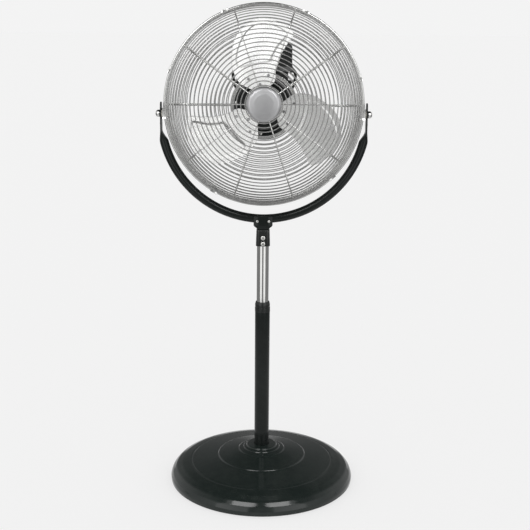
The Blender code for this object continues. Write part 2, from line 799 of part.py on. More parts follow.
def build_dish(name, face, plate_inner, plate_radius, first_ring, parent):
    """A wire dish: rings, a heavy rim wire and spokes inside them, with a steel plate in its middle."""
    places = dish_rings(first_ring, face)
    rings = [
        wire(f"{name}_ring_{number}", ring_points(radius, height), WIRE_RADIUS, cyclic=True)
        for number, (radius, height, _) in enumerate(places)
    ]
    rim = ring_points(RIM_RADIUS, face * RIM_OFFSET, GUARD_SEGMENTS * 3 // 2)
    rings.append(wire(f"{name}_rim", rim, RIM_WIRE_RADIUS, cyclic=True))
    guard = joined(name, rings)

    inset = WIRE_RADIUS * 1.3
    spokes = []
    for number in range(SPOKE_COUNT):
        angle = math.radians(360 / SPOKE_COUNT * number)
        profile = [(plate_radius - 0.004, face * (DISH_DEPTH - inset))]
        profile.append((DISH_FACE_RADIUS, face * (DISH_DEPTH - inset)))
        for radius, height, lean in places:
            if lean:
                profile.append((radius - inset * math.sin(lean), height - face * inset * math.cos(lean)))
        profile.append((RIM_RADIUS - inset, face * RIM_OFFSET))
        points = [(r * math.cos(angle), r * math.sin(angle), z) for r, z in profile]
        spokes.append(wire(f"{name}_spoke_{number}", points, SPOKE_RADIUS))
    combine(guard, joined(f"{name}_spokes", spokes), "UNION", parent)

    middle = face * (DISH_DEPTH - inset)
    disc = ring_profile(plate_inner, plate_radius, middle - 0.00075, middle + 0.00075)
    combine(guard, turned(f"{name}_plate", disc, closed=True), "UNION", parent)
    return guard


def build_guards(fan):
    """The two dishes, the clips that hold their rims together and the cap in the middle of the front."""
    front = build_dish("front_guard", 1, FRONT_PLATE_INNER, FRONT_PLATE_RADIUS, 0.0553, fan)
    finish(front, CHROME, fan)
    rear = build_dish("rear_guard", -1, REAR_PLATE_INNER, REAR_PLATE_RADIUS, 0.1010, fan)
    for angle in MOTOR_BOLT_ANGLES:
        combine(rear, bolt_cutter(f"rear_guard_bolt_{angle}", angle), "DIFFERENCE", fan)
    finish(rear, CHROME, fan)

    front_face = DISH_DEPTH + 0.0025
    cap = turned(
        "centre_cap",
        (
            (0, front_face + 0.0075),
            (CAP_RADIUS * 0.55, front_face + 0.0070),
            (CAP_RADIUS * 0.86, front_face + 0.0055),
            (CAP_RADIUS - 0.0010, front_face + 0.0030),
            (CAP_RADIUS, front_face),
            (FRONT_PLATE_INNER - GAP, front_face),
            (FRONT_PLATE_INNER - GAP, DISH_DEPTH - 0.008),
            (0, DISH_DEPTH - 0.008),
        ),
        segments=32,
    )
    finish(cap, SILVER, fan)

    reach = RIM_WIRE_RADIUS + GAP
    for number, angle in enumerate(CLIP_ANGLES, start=1):
        place = Matrix.Rotation(math.radians(angle), 4, "Z")
        name = f"guard_clip_{number}"
        clip = box(
            name,
            (RIM_RADIUS - 0.0060, -0.0090, -RIM_OFFSET - reach - 0.0014),
            (RIM_RADIUS + reach + 0.0014, 0.0090, RIM_OFFSET + reach + 0.0014),
            bevel=0.0008,
        )
        slot = box(
            f"{name}_slot",
            (RIM_RADIUS - 0.0080, -0.0120, -RIM_OFFSET - reach),
            (RIM_RADIUS + reach, 0.0120, RIM_OFFSET + reach),
        )
        for piece in (clip, slot):
            piece.matrix_local = place
        combine(clip, slot, "DIFFERENCE", fan)
        finish(clip, STEEL, fan)


def bolt_cutter(name, angle):
    """The hole of a motor bolt through whatever it clamps."""
    turn = math.radians(angle)
    at = (MOTOR_BOLT_CIRCLE * math.cos(turn), MOTOR_BOLT_CIRCLE * math.sin(turn))
    return cylinder(name, MOTOR_BOLT_RADIUS + GAP, -0.100, -0.050, 12, at=at)


def blade_height(radius, angle):
    """Height of the blade's front surface at a radius and at an angle from its root axis."""
    share = (radius - BLADE_STATIONS[0][0]) / (BLADE_STATIONS[-1][0] - BLADE_STATIONS[0][0])
    pitch = BLADE_PITCH_ROOT + (BLADE_PITCH_TIP - BLADE_PITCH_ROOT) * share
    across = radius * math.sin(angle + math.radians(8) * share)
    return BLADE_PLANE + across * math.tan(pitch) - BLADE_CAMBER * share * math.cos(angle * 2)


def blade_sheet(bm, stations, columns, drop):
    """An open sheet over the stations, lowered along the axis by drop."""
    rows = []
    for radius, trailing, leading in stations:
        row = []
        for column in range(columns + 1):
            angle = math.radians(trailing + (leading - trailing) * column / columns)
            height = blade_height(radius, angle) - drop
            row.append(bm.verts.new((radius * math.cos(angle), radius * math.sin(angle), height)))
        rows.append(row)
    for low, high in zip(rows, rows[1:]):
        for column in range(columns):
            bm.faces.new((low[column], low[column + 1], high[column + 1], high[column]))
    bmesh.ops.recalc_face_normals(bm, faces=bm.faces)
    if sum(face.normal.z for face in bm.faces) < 0:
        bmesh.ops.reverse_faces(bm, faces=bm.faces)


def build_rotor(spin):
    """The three blades, the spider behind their roots, the shaft and its screw."""
    for number, root in enumerate(BLADE_ROOT_ANGLES, start=1):
        name = f"blade_{number}"
        blade = mesh_object(name, lambda bm: blade_sheet(bm, BLADE_STATIONS, BLADE_COLUMNS, 0))
        wall = blade.modifiers.new("Sheet", "SOLIDIFY")
        wall.thickness = BLADE_SHEET
        wall.offset = -1
        blade.rotation_euler = (0, 0, math.radians(root))
        finish(blade, POLISHED, spin)

    front = 0.020
    rear = -0.024
    hole = SHAFT_RADIUS + GAP
    hub = turned("fan_hub", ring_profile(hole, HUB_RADIUS, rear, front), closed=True)
    for number, root in enumerate(BLADE_ROOT_ANGLES, start=1):
        stations = ((0.018, 24, -24), (0.040, 20, -20), (0.070, 27, -26), (SPIDER_REACH, 20, -20))
        drop = BLADE_SHEET * 1.25 + GAP
        arm = mesh_object(f"spider_arm_{number}", lambda bm: blade_sheet(bm, stations, 4, drop))
        wall = arm.modifiers.new("Sheet", "SOLIDIFY")
        wall.thickness = SPIDER_THICKNESS
        wall.offset = -1
        arm.rotation_euler = (0, 0, math.radians(root))
        combine(hub, arm, "UNION", spin)
    trim = cylinder("hub_bore", hole, rear - 0.02, front + 0.02, 32)
    combine(hub, trim, "DIFFERENCE", spin)
    finish(hub, STEEL, spin)

    shaft = turned("rotor_shaft", disc_profile(SHAFT_RADIUS, MOTOR_REAR + 0.010, front + 0.004), segments=24)
    finish(shaft, STEEL, spin)
    low = front + 0.004 + GAP
    screw = turned(
        "hub_screw",
        ((0, low + 0.0075), (0.0060, low + 0.0070), (0.0085, low + 0.0040), (0.0085, low), (0, low)),
        segments=20,
    )
    finish(screw, STEEL, spin)
    core_low, core_high = -0.104, -0.052
    core = ring_profile(SHAFT_RADIUS + GAP, 0.0290, core_low, core_high)
    finish(turned("rotor_core", core, closed=True), STEEL, spin)


def build_motor(fan):
    """The two housings, the stator with its winding, the bearings and the four bolts."""
    flange_back = REAR_PLATE_FRONT + 0.0010
    flange_front = flange_back + FLANGE_THICKNESS
    seat = BEARING_RADIUS + GAP
    inner = MOTOR_RADIUS - MOTOR_WALL
    front_housing = turned(
        "motor_front_housing",
        (
            (SHAFT_RADIUS + 0.002, MOTOR_FRONT),
            (0.0200, MOTOR_FRONT),
            (0.0500, MOTOR_FRONT - 0.0060),
            (MOTOR_RADIUS - 0.0030, MOTOR_FRONT - 0.0110),
            (MOTOR_RADIUS, MOTOR_FRONT - 0.0180),
            (MOTOR_RADIUS, flange_front),
            (FLANGE_RADIUS, flange_front),
            (FLANGE_RADIUS, flange_back),
            (inner, flange_back),
            (inner, MOTOR_FRONT - 0.0190),
            (0.0480, MOTOR_FRONT - 0.0085),
            (seat, MOTOR_FRONT - 0.0030),
            (SHAFT_RADIUS + 0.002, MOTOR_FRONT - 0.0030),
        ),
        closed=True,
    )
    for angle in MOTOR_BOLT_ANGLES:
        combine(front_housing, bolt_cutter(f"front_flange_bolt_{angle}", angle), "DIFFERENCE", fan)
    finish(front_housing, BLACK_PAINT, fan)

    plate_back = -DISH_DEPTH + WIRE_RADIUS * 1.3 - 0.00075
    top = plate_back - GAP
    bottom = MOTOR_REAR
    inner = MOTOR_REAR_RADIUS - MOTOR_WALL
    rear_housing = turned(
        "motor_rear_housing",
        (
            (0.0600, top),
            (FLANGE_RADIUS, top),
            (FLANGE_RADIUS, top - 0.0022),
            (MOTOR_REAR_RADIUS, top - 0.0022),
            (MOTOR_REAR_RADIUS, bottom + 0.0150),
            (MOTOR_REAR_RADIUS - 0.0060, bottom + 0.0050),
            (MOTOR_REAR_RADIUS - 0.0180, bottom),
            (0, bottom),
            (0, bottom + MOTOR_WALL),
            (MOTOR_REAR_RADIUS - 0.0190, bottom + MOTOR_WALL),
            (inner - 0.0050, bottom + 0.0070),
            (inner, bottom + 0.0160),
            (inner, top - 0.0022),
            (0.0600, top - 0.0022),
            (0.0600, top),
        ),
    )
    for angle in MOTOR_BOLT_ANGLES:
        combine(rear_housing, bolt_cutter(f"rear_flange_bolt_{angle}", angle), "DIFFERENCE", fan)
    finish(rear_housing, BLACK_PAINT, fan)

    stator = ring_profile(0.0300, 0.0574, -0.104, -0.052)
    finish(turned("stator", stator, closed=True), STEEL, fan)
    winding = ring_profile(0.0320, 0.0520, -0.115, -0.104 - GAP)
    finish(turned("stator_winding", winding, closed=True), COPPER, fan)

    bearing_inner = SHAFT_RADIUS + GAP
    for name, high in (("front_bearing", MOTOR_FRONT - 0.0033), ("rear_bearing", MOTOR_REAR + 0.0205)):
        race = ring_profile(bearing_inner, BEARING_RADIUS, high - BEARING_WIDTH, high)
        finish(turned(name, race, closed=True, segments=16), STEEL, fan)

    head_back = flange_front + GAP
    for number, angle in enumerate(MOTOR_BOLT_ANGLES, start=1):
        turn = math.radians(angle)
        bolt = turned(
            f"motor_screw_{number}",
            (
                (0, head_back + 0.0028),
                (0.0028, head_back + 0.0026),
                (0.0038, head_back + 0.0014),
                (0.0038, head_back),
                (MOTOR_BOLT_RADIUS, head_back),
                (MOTOR_BOLT_RADIUS, BRACKET_FRONT - BRACKET_THICKNESS - 0.002),
                (0, BRACKET_FRONT - BRACKET_THICKNESS - 0.002),
            ),
            segments=12,
        )
        bolt.location = (MOTOR_BOLT_CIRCLE * math.cos(turn), MOTOR_BOLT_CIRCLE * math.sin(turn), 0)
        finish(bolt, STEEL, fan)


def build_controls(fan, knob_axis):
    """The bracket plate, the box on it, the switch and its knob, the capacitor and the cable gland."""
    arc_radius = 0.0850
    turns = [math.radians(degrees) for degrees in range(150, 391, 20)]
    arc = [(arc_radius * math.cos(turn), arc_radius * math.sin(turn)) for turn in turns]
    shoulder = ((0.0820, 0.0600), (0.0820, 0.0850), (0.0700, 0.0990), (0.0700, 0.1480), (0.0610, 0.1575))
    outline = arc + list(shoulder) + [(-x, y) for x, y in reversed(shoulder)]
    window = rounded_rectangle((0.0600, 0.0640), (0.0740, 0.0830), 0.004)
    windows = [[(side * x, y) for x, y in window] for side in (-1, 1)]
    back = BRACKET_FRONT - BRACKET_THICKNESS
    bore = circle_points(MOTOR_REAR_RADIUS + 2 * GAP, 24)
    bracket = plate("motor_bracket", [outline, bore] + windows, back, BRACKET_FRONT)
    for angle in MOTOR_BOLT_ANGLES:
        combine(bracket, bolt_cutter(f"bracket_bolt_{angle}", angle), "DIFFERENCE", fan)
    finish(bracket, BLACK_PAINT, fan)

    front = back - GAP
    rear = front - BOX_DEPTH
    corners = ((-BOX_HALF_WIDTH, BOX_BOTTOM, rear), (BOX_HALF_WIDTH, BOX_TOP, front))
    shell = box("control_box", *corners, bevel=0.004)
    inside = box(
        "control_box_inside",
        (-BOX_HALF_WIDTH + BOX_WALL, BOX_BOTTOM + BOX_WALL, rear + BOX_WALL),
        (BOX_HALF_WIDTH - BOX_WALL, BOX_TOP - BOX_WALL, front + 0.010),
    )
    combine(shell, inside, "DIFFERENCE", fan)
    knob_at = (0, SPEED_KNOB_HEIGHT)
    shaft_hole = cylinder("switch_shaft_hole", 0.0038, rear - 0.01, rear + 0.01, 16, at=knob_at)
    combine(shell, shaft_hole, "DIFFERENCE", fan)
    gland_x, gland_z, gland_radius = -0.0450, rear + BOX_DEPTH / 2, 0.0060
    down = Matrix.Translation((gland_x, 0, gland_z)) @ Matrix.Rotation(math.radians(90), 4, "X")
    low, high = -BOX_BOTTOM - 0.01, -BOX_BOTTOM + 0.01
    gland_hole = cylinder("gland_hole", gland_radius + GAP, low, high, 20, turn=down)
    combine(shell, gland_hole, "DIFFERENCE", fan)
    finish(shell, BLACK_PLASTIC, fan)

    gland = turned(
        "cable_gland",
        (
            (0.0035, -BOX_BOTTOM + 0.0130),
            (gland_radius - 0.0005, -BOX_BOTTOM + 0.0130),
            (0.0085, -BOX_BOTTOM + 0.0080),
            (0.0085, -BOX_BOTTOM + GAP),
            (gland_radius, -BOX_BOTTOM + GAP),
            (gland_radius, -BOX_BOTTOM - 0.0080),
            (0.0035, -BOX_BOTTOM - 0.0080),
        ),
        closed=True,
        segments=20,
    )
    gland.matrix_local = down
    finish(gland, BLACK_PLASTIC, fan)

    switch_back = rear + BOX_WALL + GAP
    switch = box(
        "speed_switch",
        (-0.0150, SPEED_KNOB_HEIGHT - 0.0150, switch_back),
        (0.0150, SPEED_KNOB_HEIGHT + 0.0150, switch_back + 0.0180),
    )
    finish(switch, NYLON, fan)
    place = Matrix.Translation((0, SPEED_KNOB_HEIGHT, front - 0.0200))
    turn = place @ Matrix.Rotation(math.radians(90), 4, "Y")
    capacitor = cylinder("capacitor", 0.0120, 0.020, 0.056, turn=turn)
    finish(capacitor, NYLON, fan)

    knob = turned(
        "speed_knob",
        (
            (0, rear + BOX_WALL - GAP),
            (0.0030, rear + BOX_WALL - GAP),
            (0.0030, rear - 0.0010),
            (SPEED_KNOB_RADIUS, rear - 0.0010),
            (SPEED_KNOB_RADIUS, rear - 0.0040),
            (SPEED_KNOB_RADIUS - 0.0025, rear - 0.0060),
            (SPEED_KNOB_RADIUS - 0.0035, rear - SPEED_KNOB_LENGTH + 0.0015),
            (SPEED_KNOB_RADIUS - 0.0050, rear - SPEED_KNOB_LENGTH),
            (0, rear - SPEED_KNOB_LENGTH),
        ),
        segments=20,
    )
    finish(knob, BLACK_PLASTIC, knob_axis)


def main():
    """Build the fan from the floor up."""
    build_base()
    build_pole()
    build_mast()
    build_yoke()
    head = empty("head_tilt", (0, 0, PIVOT_HEIGHT), (-HEAD_TILT, 0, 0))
    fan = empty("fan_axis", (0, 0, AXIS_RISE), (math.radians(90), 0, 0), head)
    spin = empty("rotor_spin", parent=fan)
    knob_axis = empty("speed_knob_axis", (0, SPEED_KNOB_HEIGHT, 0), parent=fan)
    build_pivots(head)
    build_guards(fan)
    build_rotor(spin)
    build_motor(fan)
    build_controls(fan, knob_axis)


main()
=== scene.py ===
"""The looks of a pedestal fan: a wire drum head in a yoke, on a telescopic pole and a round base.

Metres, +Z up, origin on the floor under the base. The fan blows towards -Y. The head's pieces are made in
the fan's own frame, x to the right, y up and z towards the front, and are then laid on the rotor's axis.
"""

from __future__ import annotations

import json
import logging
import math
from dataclasses import dataclass, field
from enum import Enum
from typing import Callable, Iterable, Mapping, Sequence

import bmesh
import bpy
import numpy as np
from mathutils import Matrix, Vector


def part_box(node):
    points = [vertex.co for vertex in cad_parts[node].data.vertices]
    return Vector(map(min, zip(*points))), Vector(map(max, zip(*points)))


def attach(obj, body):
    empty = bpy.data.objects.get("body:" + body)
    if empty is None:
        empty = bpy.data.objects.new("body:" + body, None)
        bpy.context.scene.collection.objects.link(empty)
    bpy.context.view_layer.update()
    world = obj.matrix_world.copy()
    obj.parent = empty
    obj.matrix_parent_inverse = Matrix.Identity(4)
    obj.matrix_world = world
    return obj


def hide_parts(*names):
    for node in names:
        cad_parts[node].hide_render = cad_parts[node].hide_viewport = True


log = logging.getLogger("pedestal_fan")

Point = tuple[float, float]
Colour = tuple[float, float, float]
Object = bpy.types.Object
Socket = bpy.types.NodeSocket

MERGE = 0.000005


# ---------------------------------------------------------------------------------------------------------
# Node trees
# ---------------------------------------------------------------------------------------------------------


class Value:
    """A number in a node tree, on which Python's operators add Math nodes."""

    def __init__(self, tree: Tree, socket: Socket) -> None:
        """Wrap a socket.

        Args:
            tree: the tree that the socket is in.
            socket: the output that gives the number.
        """
        self.tree = tree
        self.socket = socket

    def __add__(self, other: Number) -> Value:
        """The sum."""
        return self.tree.math("ADD", self, other)

    def __sub__(self, other: Number) -> Value:
        """The difference."""
        return self.tree.math("SUBTRACT", self, other)

    def __rsub__(self, other: Number) -> Value:
        """The difference, with this value taken away."""
        return self.tree.math("SUBTRACT", other, self)

    def __mul__(self, other: Number) -> Value:
        """The product."""
        return self.tree.math("MULTIPLY", self, other)

    def __truediv__(self, other: Number) -> Value:
        """The quotient."""
        return self.tree.math("DIVIDE", self, other)

    def __pow__(self, other: Number) -> Value:
        """The power."""
        return self.tree.math("POWER", self, other)

    def __lt__(self, other: Number) -> Value:
        """1 where this value is the smaller one, and 0 elsewhere."""
        return self.tree.math("LESS_THAN", self, other)

    __radd__ = __add__
    __rmul__ = __mul__

    def sine(self) -> Value:
        """The sine of an angle in radians."""
        return self.tree.math("SINE", self)

    def cosine(self) -> Value:
        """The cosine of an angle in radians."""
        return self.tree.math("COSINE", self)

    def between(self, low: Number, high: Number) -> Value:
        """The value kept between two limits.

        Args:
            low: the lower limit.
            high: the upper limit.

        Returns:
            The limited value.
        """
        return self.tree.math("MINIMUM", self.tree.math("MAXIMUM", self, low), high)

    def ramp(self, low: float, high: float) -> Value:
        """0 below low, 1 above high, and a smooth step between them.

        Args:
            low: where the step starts.
            high: where it ends.

        Returns:
            The step's value.
        """
        settings = {"interpolation_type": "SMOOTHSTEP"}
        inputs = {"Value": self, "From Min": low, "From Max": high}
        node = self.tree.add("ShaderNodeMapRange", settings, inputs)
        return Value(self.tree, node.outputs["Result"])


Number = Value | float | int


class Tree:
    """A node tree, to which nodes are added by type, settings and values."""

    def __init__(self, nodes: bpy.types.NodeTree) -> None:
        """Wrap a Blender node tree."""
        self.nodes = nodes

    def add(
        self,
        kind: str,
        settings: Mapping[str, object] | None = None,
        inputs: Mapping[str | int, object] | None = None,
    ) -> bpy.types.Node:
        """Add a node.

        Args:
            kind: the node's type.
            settings: its properties, which are set first.
            inputs: the value or the link of each socket, by identifier, name or place.

        Returns:
            The node.
        """
        node = self.nodes.nodes.new(kind)
        for name, value in (settings or {}).items():
            setattr(node, name, value)
        for key, value in (inputs or {}).items():
            self.feed(self.inlet(node, key), value)
        return node

    @staticmethod
    def inlet(node: bpy.types.Node, key: str | int) -> Socket:
        """The input of a node with that identifier, name or place."""
        named = [socket for socket in node.inputs if socket.identifier == key]
        return named[0] if named else node.inputs[key]

    @staticmethod
    def outlet(node: bpy.types.Node, identifier: str) -> Socket:
        """The output of a node with that identifier."""
        return next(socket for socket in node.outputs if socket.identifier == identifier)

    def feed(self, socket: Socket, value: object) -> None:
        """Give an input a value, or link it to a value, a socket or a node's first output.

        Args:
            socket: the input.
            value: what it is given.
        """
        if isinstance(value, Value):
            value = value.socket
        if isinstance(value, bpy.types.Node):
            value = value.outputs[0]
        if isinstance(value, bpy.types.NodeSocket):
            self.nodes.links.new(value, socket)
        else:
            socket.default_value = value

    def math(self, operation: str, *values: Number) -> Value:
        """Add a Math node and give its result."""
        node = self.add("ShaderNodeMath", {"operation": operation}, dict(enumerate(values)))
        return Value(self, node.outputs[0])

    def vector(self, x: Number, y: Number, z: Number) -> Socket:
        """Three numbers as one vector."""
        return self.add("ShaderNodeCombineXYZ", {}, {"X": x, "Y": y, "Z": z}).outputs[0]


class Surface(Tree):
    """The node tree of a material."""

    def __init__(self, material: bpy.types.Material) -> None:
        """Start the tree of a material.

        Args:
            material: a material that uses nodes.
        """
        super().__init__(material.node_tree)
        self.shader = self.nodes.nodes["Principled BSDF"]
        self.place = self.add("ShaderNodeTexCoord").outputs["Object"]

    def scaled(self, scale: tuple[float, float, float], of: Socket | None = None) -> Socket:
        """The coordinates, stretched along the axes.

        Args:
            scale: how many times along each axis.
            of: the coordinates, or None for the piece's own.

        Returns:
            The stretched coordinates.
        """
        return self.add("ShaderNodeMapping", {}, {"Vector": of or self.place, "Scale": scale}).outputs[0]

    def noise(
        self, scale: float, detail: float = 3.0, roughness: float = 0.5, at: Socket | None = None
    ) -> Value:
        """A soft random pattern from 0 to 1.

        Args:
            scale: lumps per metre.
            detail: how many finer patterns lie on it.
            roughness: how strong those are.
            at: its coordinates, or None for the piece's own.

        Returns:
            The pattern.
        """
        inputs = {"Vector": at or self.place, "Scale": scale, "Detail": detail, "Roughness": roughness}
        return Value(self, self.add("ShaderNodeTexNoise", {}, inputs).outputs["Fac"])

    def cells(self, scale: float, at: Socket | None = None) -> Value:
        """The distance from the middle of the nearest of many scattered cells."""
        node = self.add("ShaderNodeTexVoronoi", {}, {"Vector": at or self.place, "Scale": scale})
        return Value(self, node.outputs["Distance"])

    def blend(self, mask: Number, low: Colour, high: Colour) -> Socket:
        """A colour between two, by a mask from 0 to 1."""
        inputs = {"Factor_Float": mask, "A_Color": (*low, 1.0), "B_Color": (*high, 1.0)}
        return self.outlet(self.add("ShaderNodeMix", {"data_type": "RGBA"}, inputs), "Result_Color")

    def relief(self, height: Number, depth: float, strength: float = 1.0) -> Socket:
        """The normal of a surface that a height pattern raises by depth."""
        inputs = {"Height": height, "Distance": depth, "Strength": strength}
        return self.add("ShaderNodeBump", {}, inputs).outputs[0]


class Grower(Tree):
    """A geometry tree with named inputs, which ends in Realize Instances and Set Material."""

    def __init__(self, name: str, inputs: Mapping[str, str]) -> None:
        """Start a tree.

        Args:
            name: the tree's name.
            inputs: the socket type of each named input, besides Geometry and Material.
        """
        group = bpy.data.node_groups.new(name, "GeometryNodeTree")
        super().__init__(group)
        wanted = {"Geometry": "NodeSocketGeometry", **inputs, "Material": "NodeSocketMaterial"}
        for label, kind in wanted.items():
            group.interface.new_socket(label, in_out="INPUT", socket_type=kind)
        group.interface.new_socket("Geometry", in_out="OUTPUT", socket_type="NodeSocketGeometry")
        self.source = self.add("NodeGroupInput")

    def take(self, label: str) -> Value:
        """The named input."""
        return Value(self, self.source.outputs[label])

    def index(self) -> Value:
        """The number of each point or copy, from 0."""
        return Value(self, self.add("GeometryNodeInputIndex").outputs[0])

    def still_points(self, count: Number, height: Number = 0.0) -> Socket:
        """That many points on the axis, at a height that may depend on the index.

        Args:
            count: how many.
            height: their height.

        Returns:
            The points.
        """
        line = self.add("GeometryNodeMeshLine", {}, {"Count": count, "Offset": (0.0, 0.0, 0.0)})
        inputs = {"Geometry": line, "Position": self.vector(0.0, 0.0, height)}
        return self.add("GeometryNodeSetPosition", {}, inputs).outputs[0]

    def copies(self, points: Socket, piece: object, **more: object) -> Socket:
        """Copies of a piece on points, with a Rotation or a Scale if given."""
        inputs = {"Points": points, "Instance": piece, **more}
        return self.add("GeometryNodeInstanceOnPoints", {}, inputs).outputs[0]

    def turn(self, angle: Number) -> Socket:
        """A turn about the axis."""
        euler = {"Euler": self.vector(0.0, 0.0, angle)}
        return self.add("FunctionNodeEulerToRotation", {}, euler).outputs[0]

    def tube(self, curves: object, radius: Number, sides: int) -> Socket:
        """A wire of that radius along curves, which may be instances.

        Args:
            curves: the curves.
            radius: the wire's radius.
            sides: its sides.

        Returns:
            The mesh.
        """
        real = self.add("GeometryNodeRealizeInstances", {}, {"Geometry": curves})
        even = self.add("GeometryNodeSetCurveRadius", {}, {"Curve": real, "Radius": 1.0})
        section = self.add("GeometryNodeCurvePrimitiveCircle", {}, {"Resolution": sides, "Radius": radius})
        inputs = {"Curve": even, "Profile Curve": section, "Fill Caps": True}
        return self.add("GeometryNodeCurveToMesh", {}, inputs).outputs[0]

    def close(self, *shapes: object) -> Grower:
        """End the tree with the shapes as one plain mesh with the material.

        Args:
            shapes: the shapes.

        Returns:
            The tree.
        """
        joined = self.add("GeometryNodeJoinGeometry")
        for shape in shapes:
            self.feed(joined.inputs[0], shape)
        real = self.add("GeometryNodeRealizeInstances", {}, {"Geometry": joined})
        inputs = {"Geometry": real, "Material": self.take("Material")}
        made = self.add("GeometryNodeSetMaterial", {}, inputs)
        self.add("NodeGroupOutput", {}, {"Geometry": made})
        return self

    def grow(self, name: str, values: Mapping[str, object], carrier: Object | None = None) -> Object:
        """Run the tree and give its result as a plain mesh.

        Args:
            name: the new object's name.
            values: what each named input gets.
            carrier: the object whose mesh goes in, or None for an empty one.

        Returns:
            The new object.
        """
        carrier = carrier or bpy.data.objects.new(name, bpy.data.meshes.new(name))
        carrier.name = name
        modifier = carrier.modifiers.new(self.nodes.name, "NODES")
        modifier.node_group = self.nodes
        for item in self.nodes.interface.items_tree:
            if item.item_type == "SOCKET" and item.in_out == "INPUT" and item.name in values:
                modifier[item.identifier] = values[item.name]
        return settled(carrier)


# ---------------------------------------------------------------------------------------------------------
# Meshes
# ---------------------------------------------------------------------------------------------------------


def mesh_object(name: str, build: Callable[[bmesh.types.BMesh], None]) -> Object:
    """An object whose mesh a function fills.

    Args:
        name: the object's name.
        build: fills the mesh it is given.

    Returns:
        The object, not yet in the scene.
    """
    mesh = bpy.data.meshes.new(name)
    bm = bmesh.new()
    build(bm)
    bm.to_mesh(mesh)
    bm.free()
    return bpy.data.objects.new(name, mesh)


def settled(obj: Object) -> Object:
    """The object with its modifiers applied, as a new plain mesh of the same name.

    Args:
        obj: the object.

    Returns:
        The new object.
    """
    if obj.name not in bpy.context.scene.collection.all_objects:
        bpy.context.scene.collection.objects.link(obj)
    bpy.context.view_layer.update()
    graph = bpy.context.evaluated_depsgraph_get()
    mesh = bpy.data.meshes.new_from_object(obj.evaluated_get(graph))
    name = obj.name
    bpy.data.objects.remove(obj, do_unlink=True)
    mesh.name = name
    made = bpy.data.objects.new(name, mesh)
    bpy.context.scene.collection.objects.link(made)
    return made


def mended(obj: Object) -> Object:
    """The object with its doubles merged and its faces turned outwards.

    Args:
        obj: the object.

    Returns:
        The object.
    """
    bm = bmesh.new()
    bm.from_mesh(obj.data)
    bmesh.ops.remove_doubles(bm, verts=bm.verts, dist=MERGE)
    bmesh.ops.recalc_face_normals(bm, faces=bm.faces)
    bm.to_mesh(obj.data)
    bm.free()
    return obj


def moved(obj: Object, place: Matrix) -> Object:
    """The object with its mesh moved by a matrix."""
    obj.data.transform(place)
    return obj


def joined(name: str, pieces: Sequence[Object]) -> Object:
    """The meshes of several objects in a new one, and the old ones removed.

    Args:
        name: the new object's name.
        pieces: the objects.

    Returns:
        The new object.
    """

    def build(bm: bmesh.types.BMesh) -> None:
        """Add every piece's mesh."""
        for piece in pieces:
            bm.from_mesh(piece.data)

    made = mesh_object(name, build)
    for piece in pieces:
        bpy.data.objects.remove(piece, do_unlink=True)
    return made


def combined(obj: Object, other: Object, operation: str = "DIFFERENCE") -> Object:
    """The Boolean of two objects, as a plain mesh, and the second one removed.

    Args:
        obj: the object that is kept.
        other: the second object.
        operation: the kind of Boolean.

    Returns:
        The result.
    """
    for piece in (obj, other):
        if piece.name not in bpy.context.scene.collection.all_objects:
            bpy.context.scene.collection.objects.link(piece)
    step = obj.modifiers.new("Combine", "BOOLEAN")
    step.operation = operation
    step.object = other
    made = settled(obj)
    bpy.data.objects.remove(other, do_unlink=True)
    return made


def rounded(profile: Sequence[Point], radius: float, closed: bool = True, steps: int = 3) -> list[Point]:
    """A run of points with its corners rounded off, and a point beside each to keep the flats flat.

    Args:
        profile: the corners.
        radius: how far from a corner its rounding starts, at most.
        closed: whether the run ends where it starts.
        steps: how many faces each corner gets.

    Returns:
        The new points.
    """
    points: list[Point] = []
    last = len(profile) - 1
    for number, corner in enumerate(profile):
        if not closed and number in (0, last):
            points.append(corner)
            continue
        here = Vector(corner)
        before = Vector(profile[number - 1]) - here
        after = Vector(profile[(number + 1) % len(profile)]) - here
        reach = min(radius, 0.36 * before.length, 0.36 * after.length)
        start = here + before.normalized() * reach
        end = here + after.normalized() * reach
        points.append(tuple(here + before.normalized() * reach * 1.3))
        for step in range(steps + 1):
            share = step / steps
            point = start * (1 - share) ** 2 + here * 2 * share * (1 - share) + end * share**2
            points.append(tuple(point))
        points.append(tuple(here + after.normalized() * reach * 1.3))
    return points


def turned(name: str, profile: Sequence[Point], segments: int = 96, closed: bool = False) -> Object:
    """A shape turned about Z.

    Args:
        name: the object's name.
        profile: the radius and height of each point, down the outer side.
        segments: how many faces go round.
        closed: whether the profile is a closed loop, as a ring's is.

    Returns:
        The object.
    """

    def build(bm: bmesh.types.BMesh) -> None:
        """Draw the outline at every turn, with the faces between.

        Args:
            bm: the mesh to fill.
        """
        turns = [2 * math.pi * number / segments for number in range(segments)]
        rows = []
        for radius, height in profile:
            count = turns if radius > MERGE else turns[:1]
            rows.append([bm.verts.new((radius * math.cos(t), radius * math.sin(t), height)) for t in count])
        for upper, lower in zip(rows, rows[1:] + rows[:1] if closed else rows[1:]):
            for here in range(segments):
                after = (here + 1) % segments
                corners = (
                    upper[here % len(upper)],
                    lower[here % len(lower)],
                    lower[after % len(lower)],
                    upper[after % len(upper)],
                )
                face = list(dict.fromkeys(corners))
                if len(face) > 2:
                    bm.faces.new(face)

    return mesh_object(name, build)


def ring(inner: float, outer: float, low: float, high: float) -> list[Point]:
    """The section of a plain ring, outer side first."""
    return [(outer, high), (outer, low), (inner, low), (inner, high)]


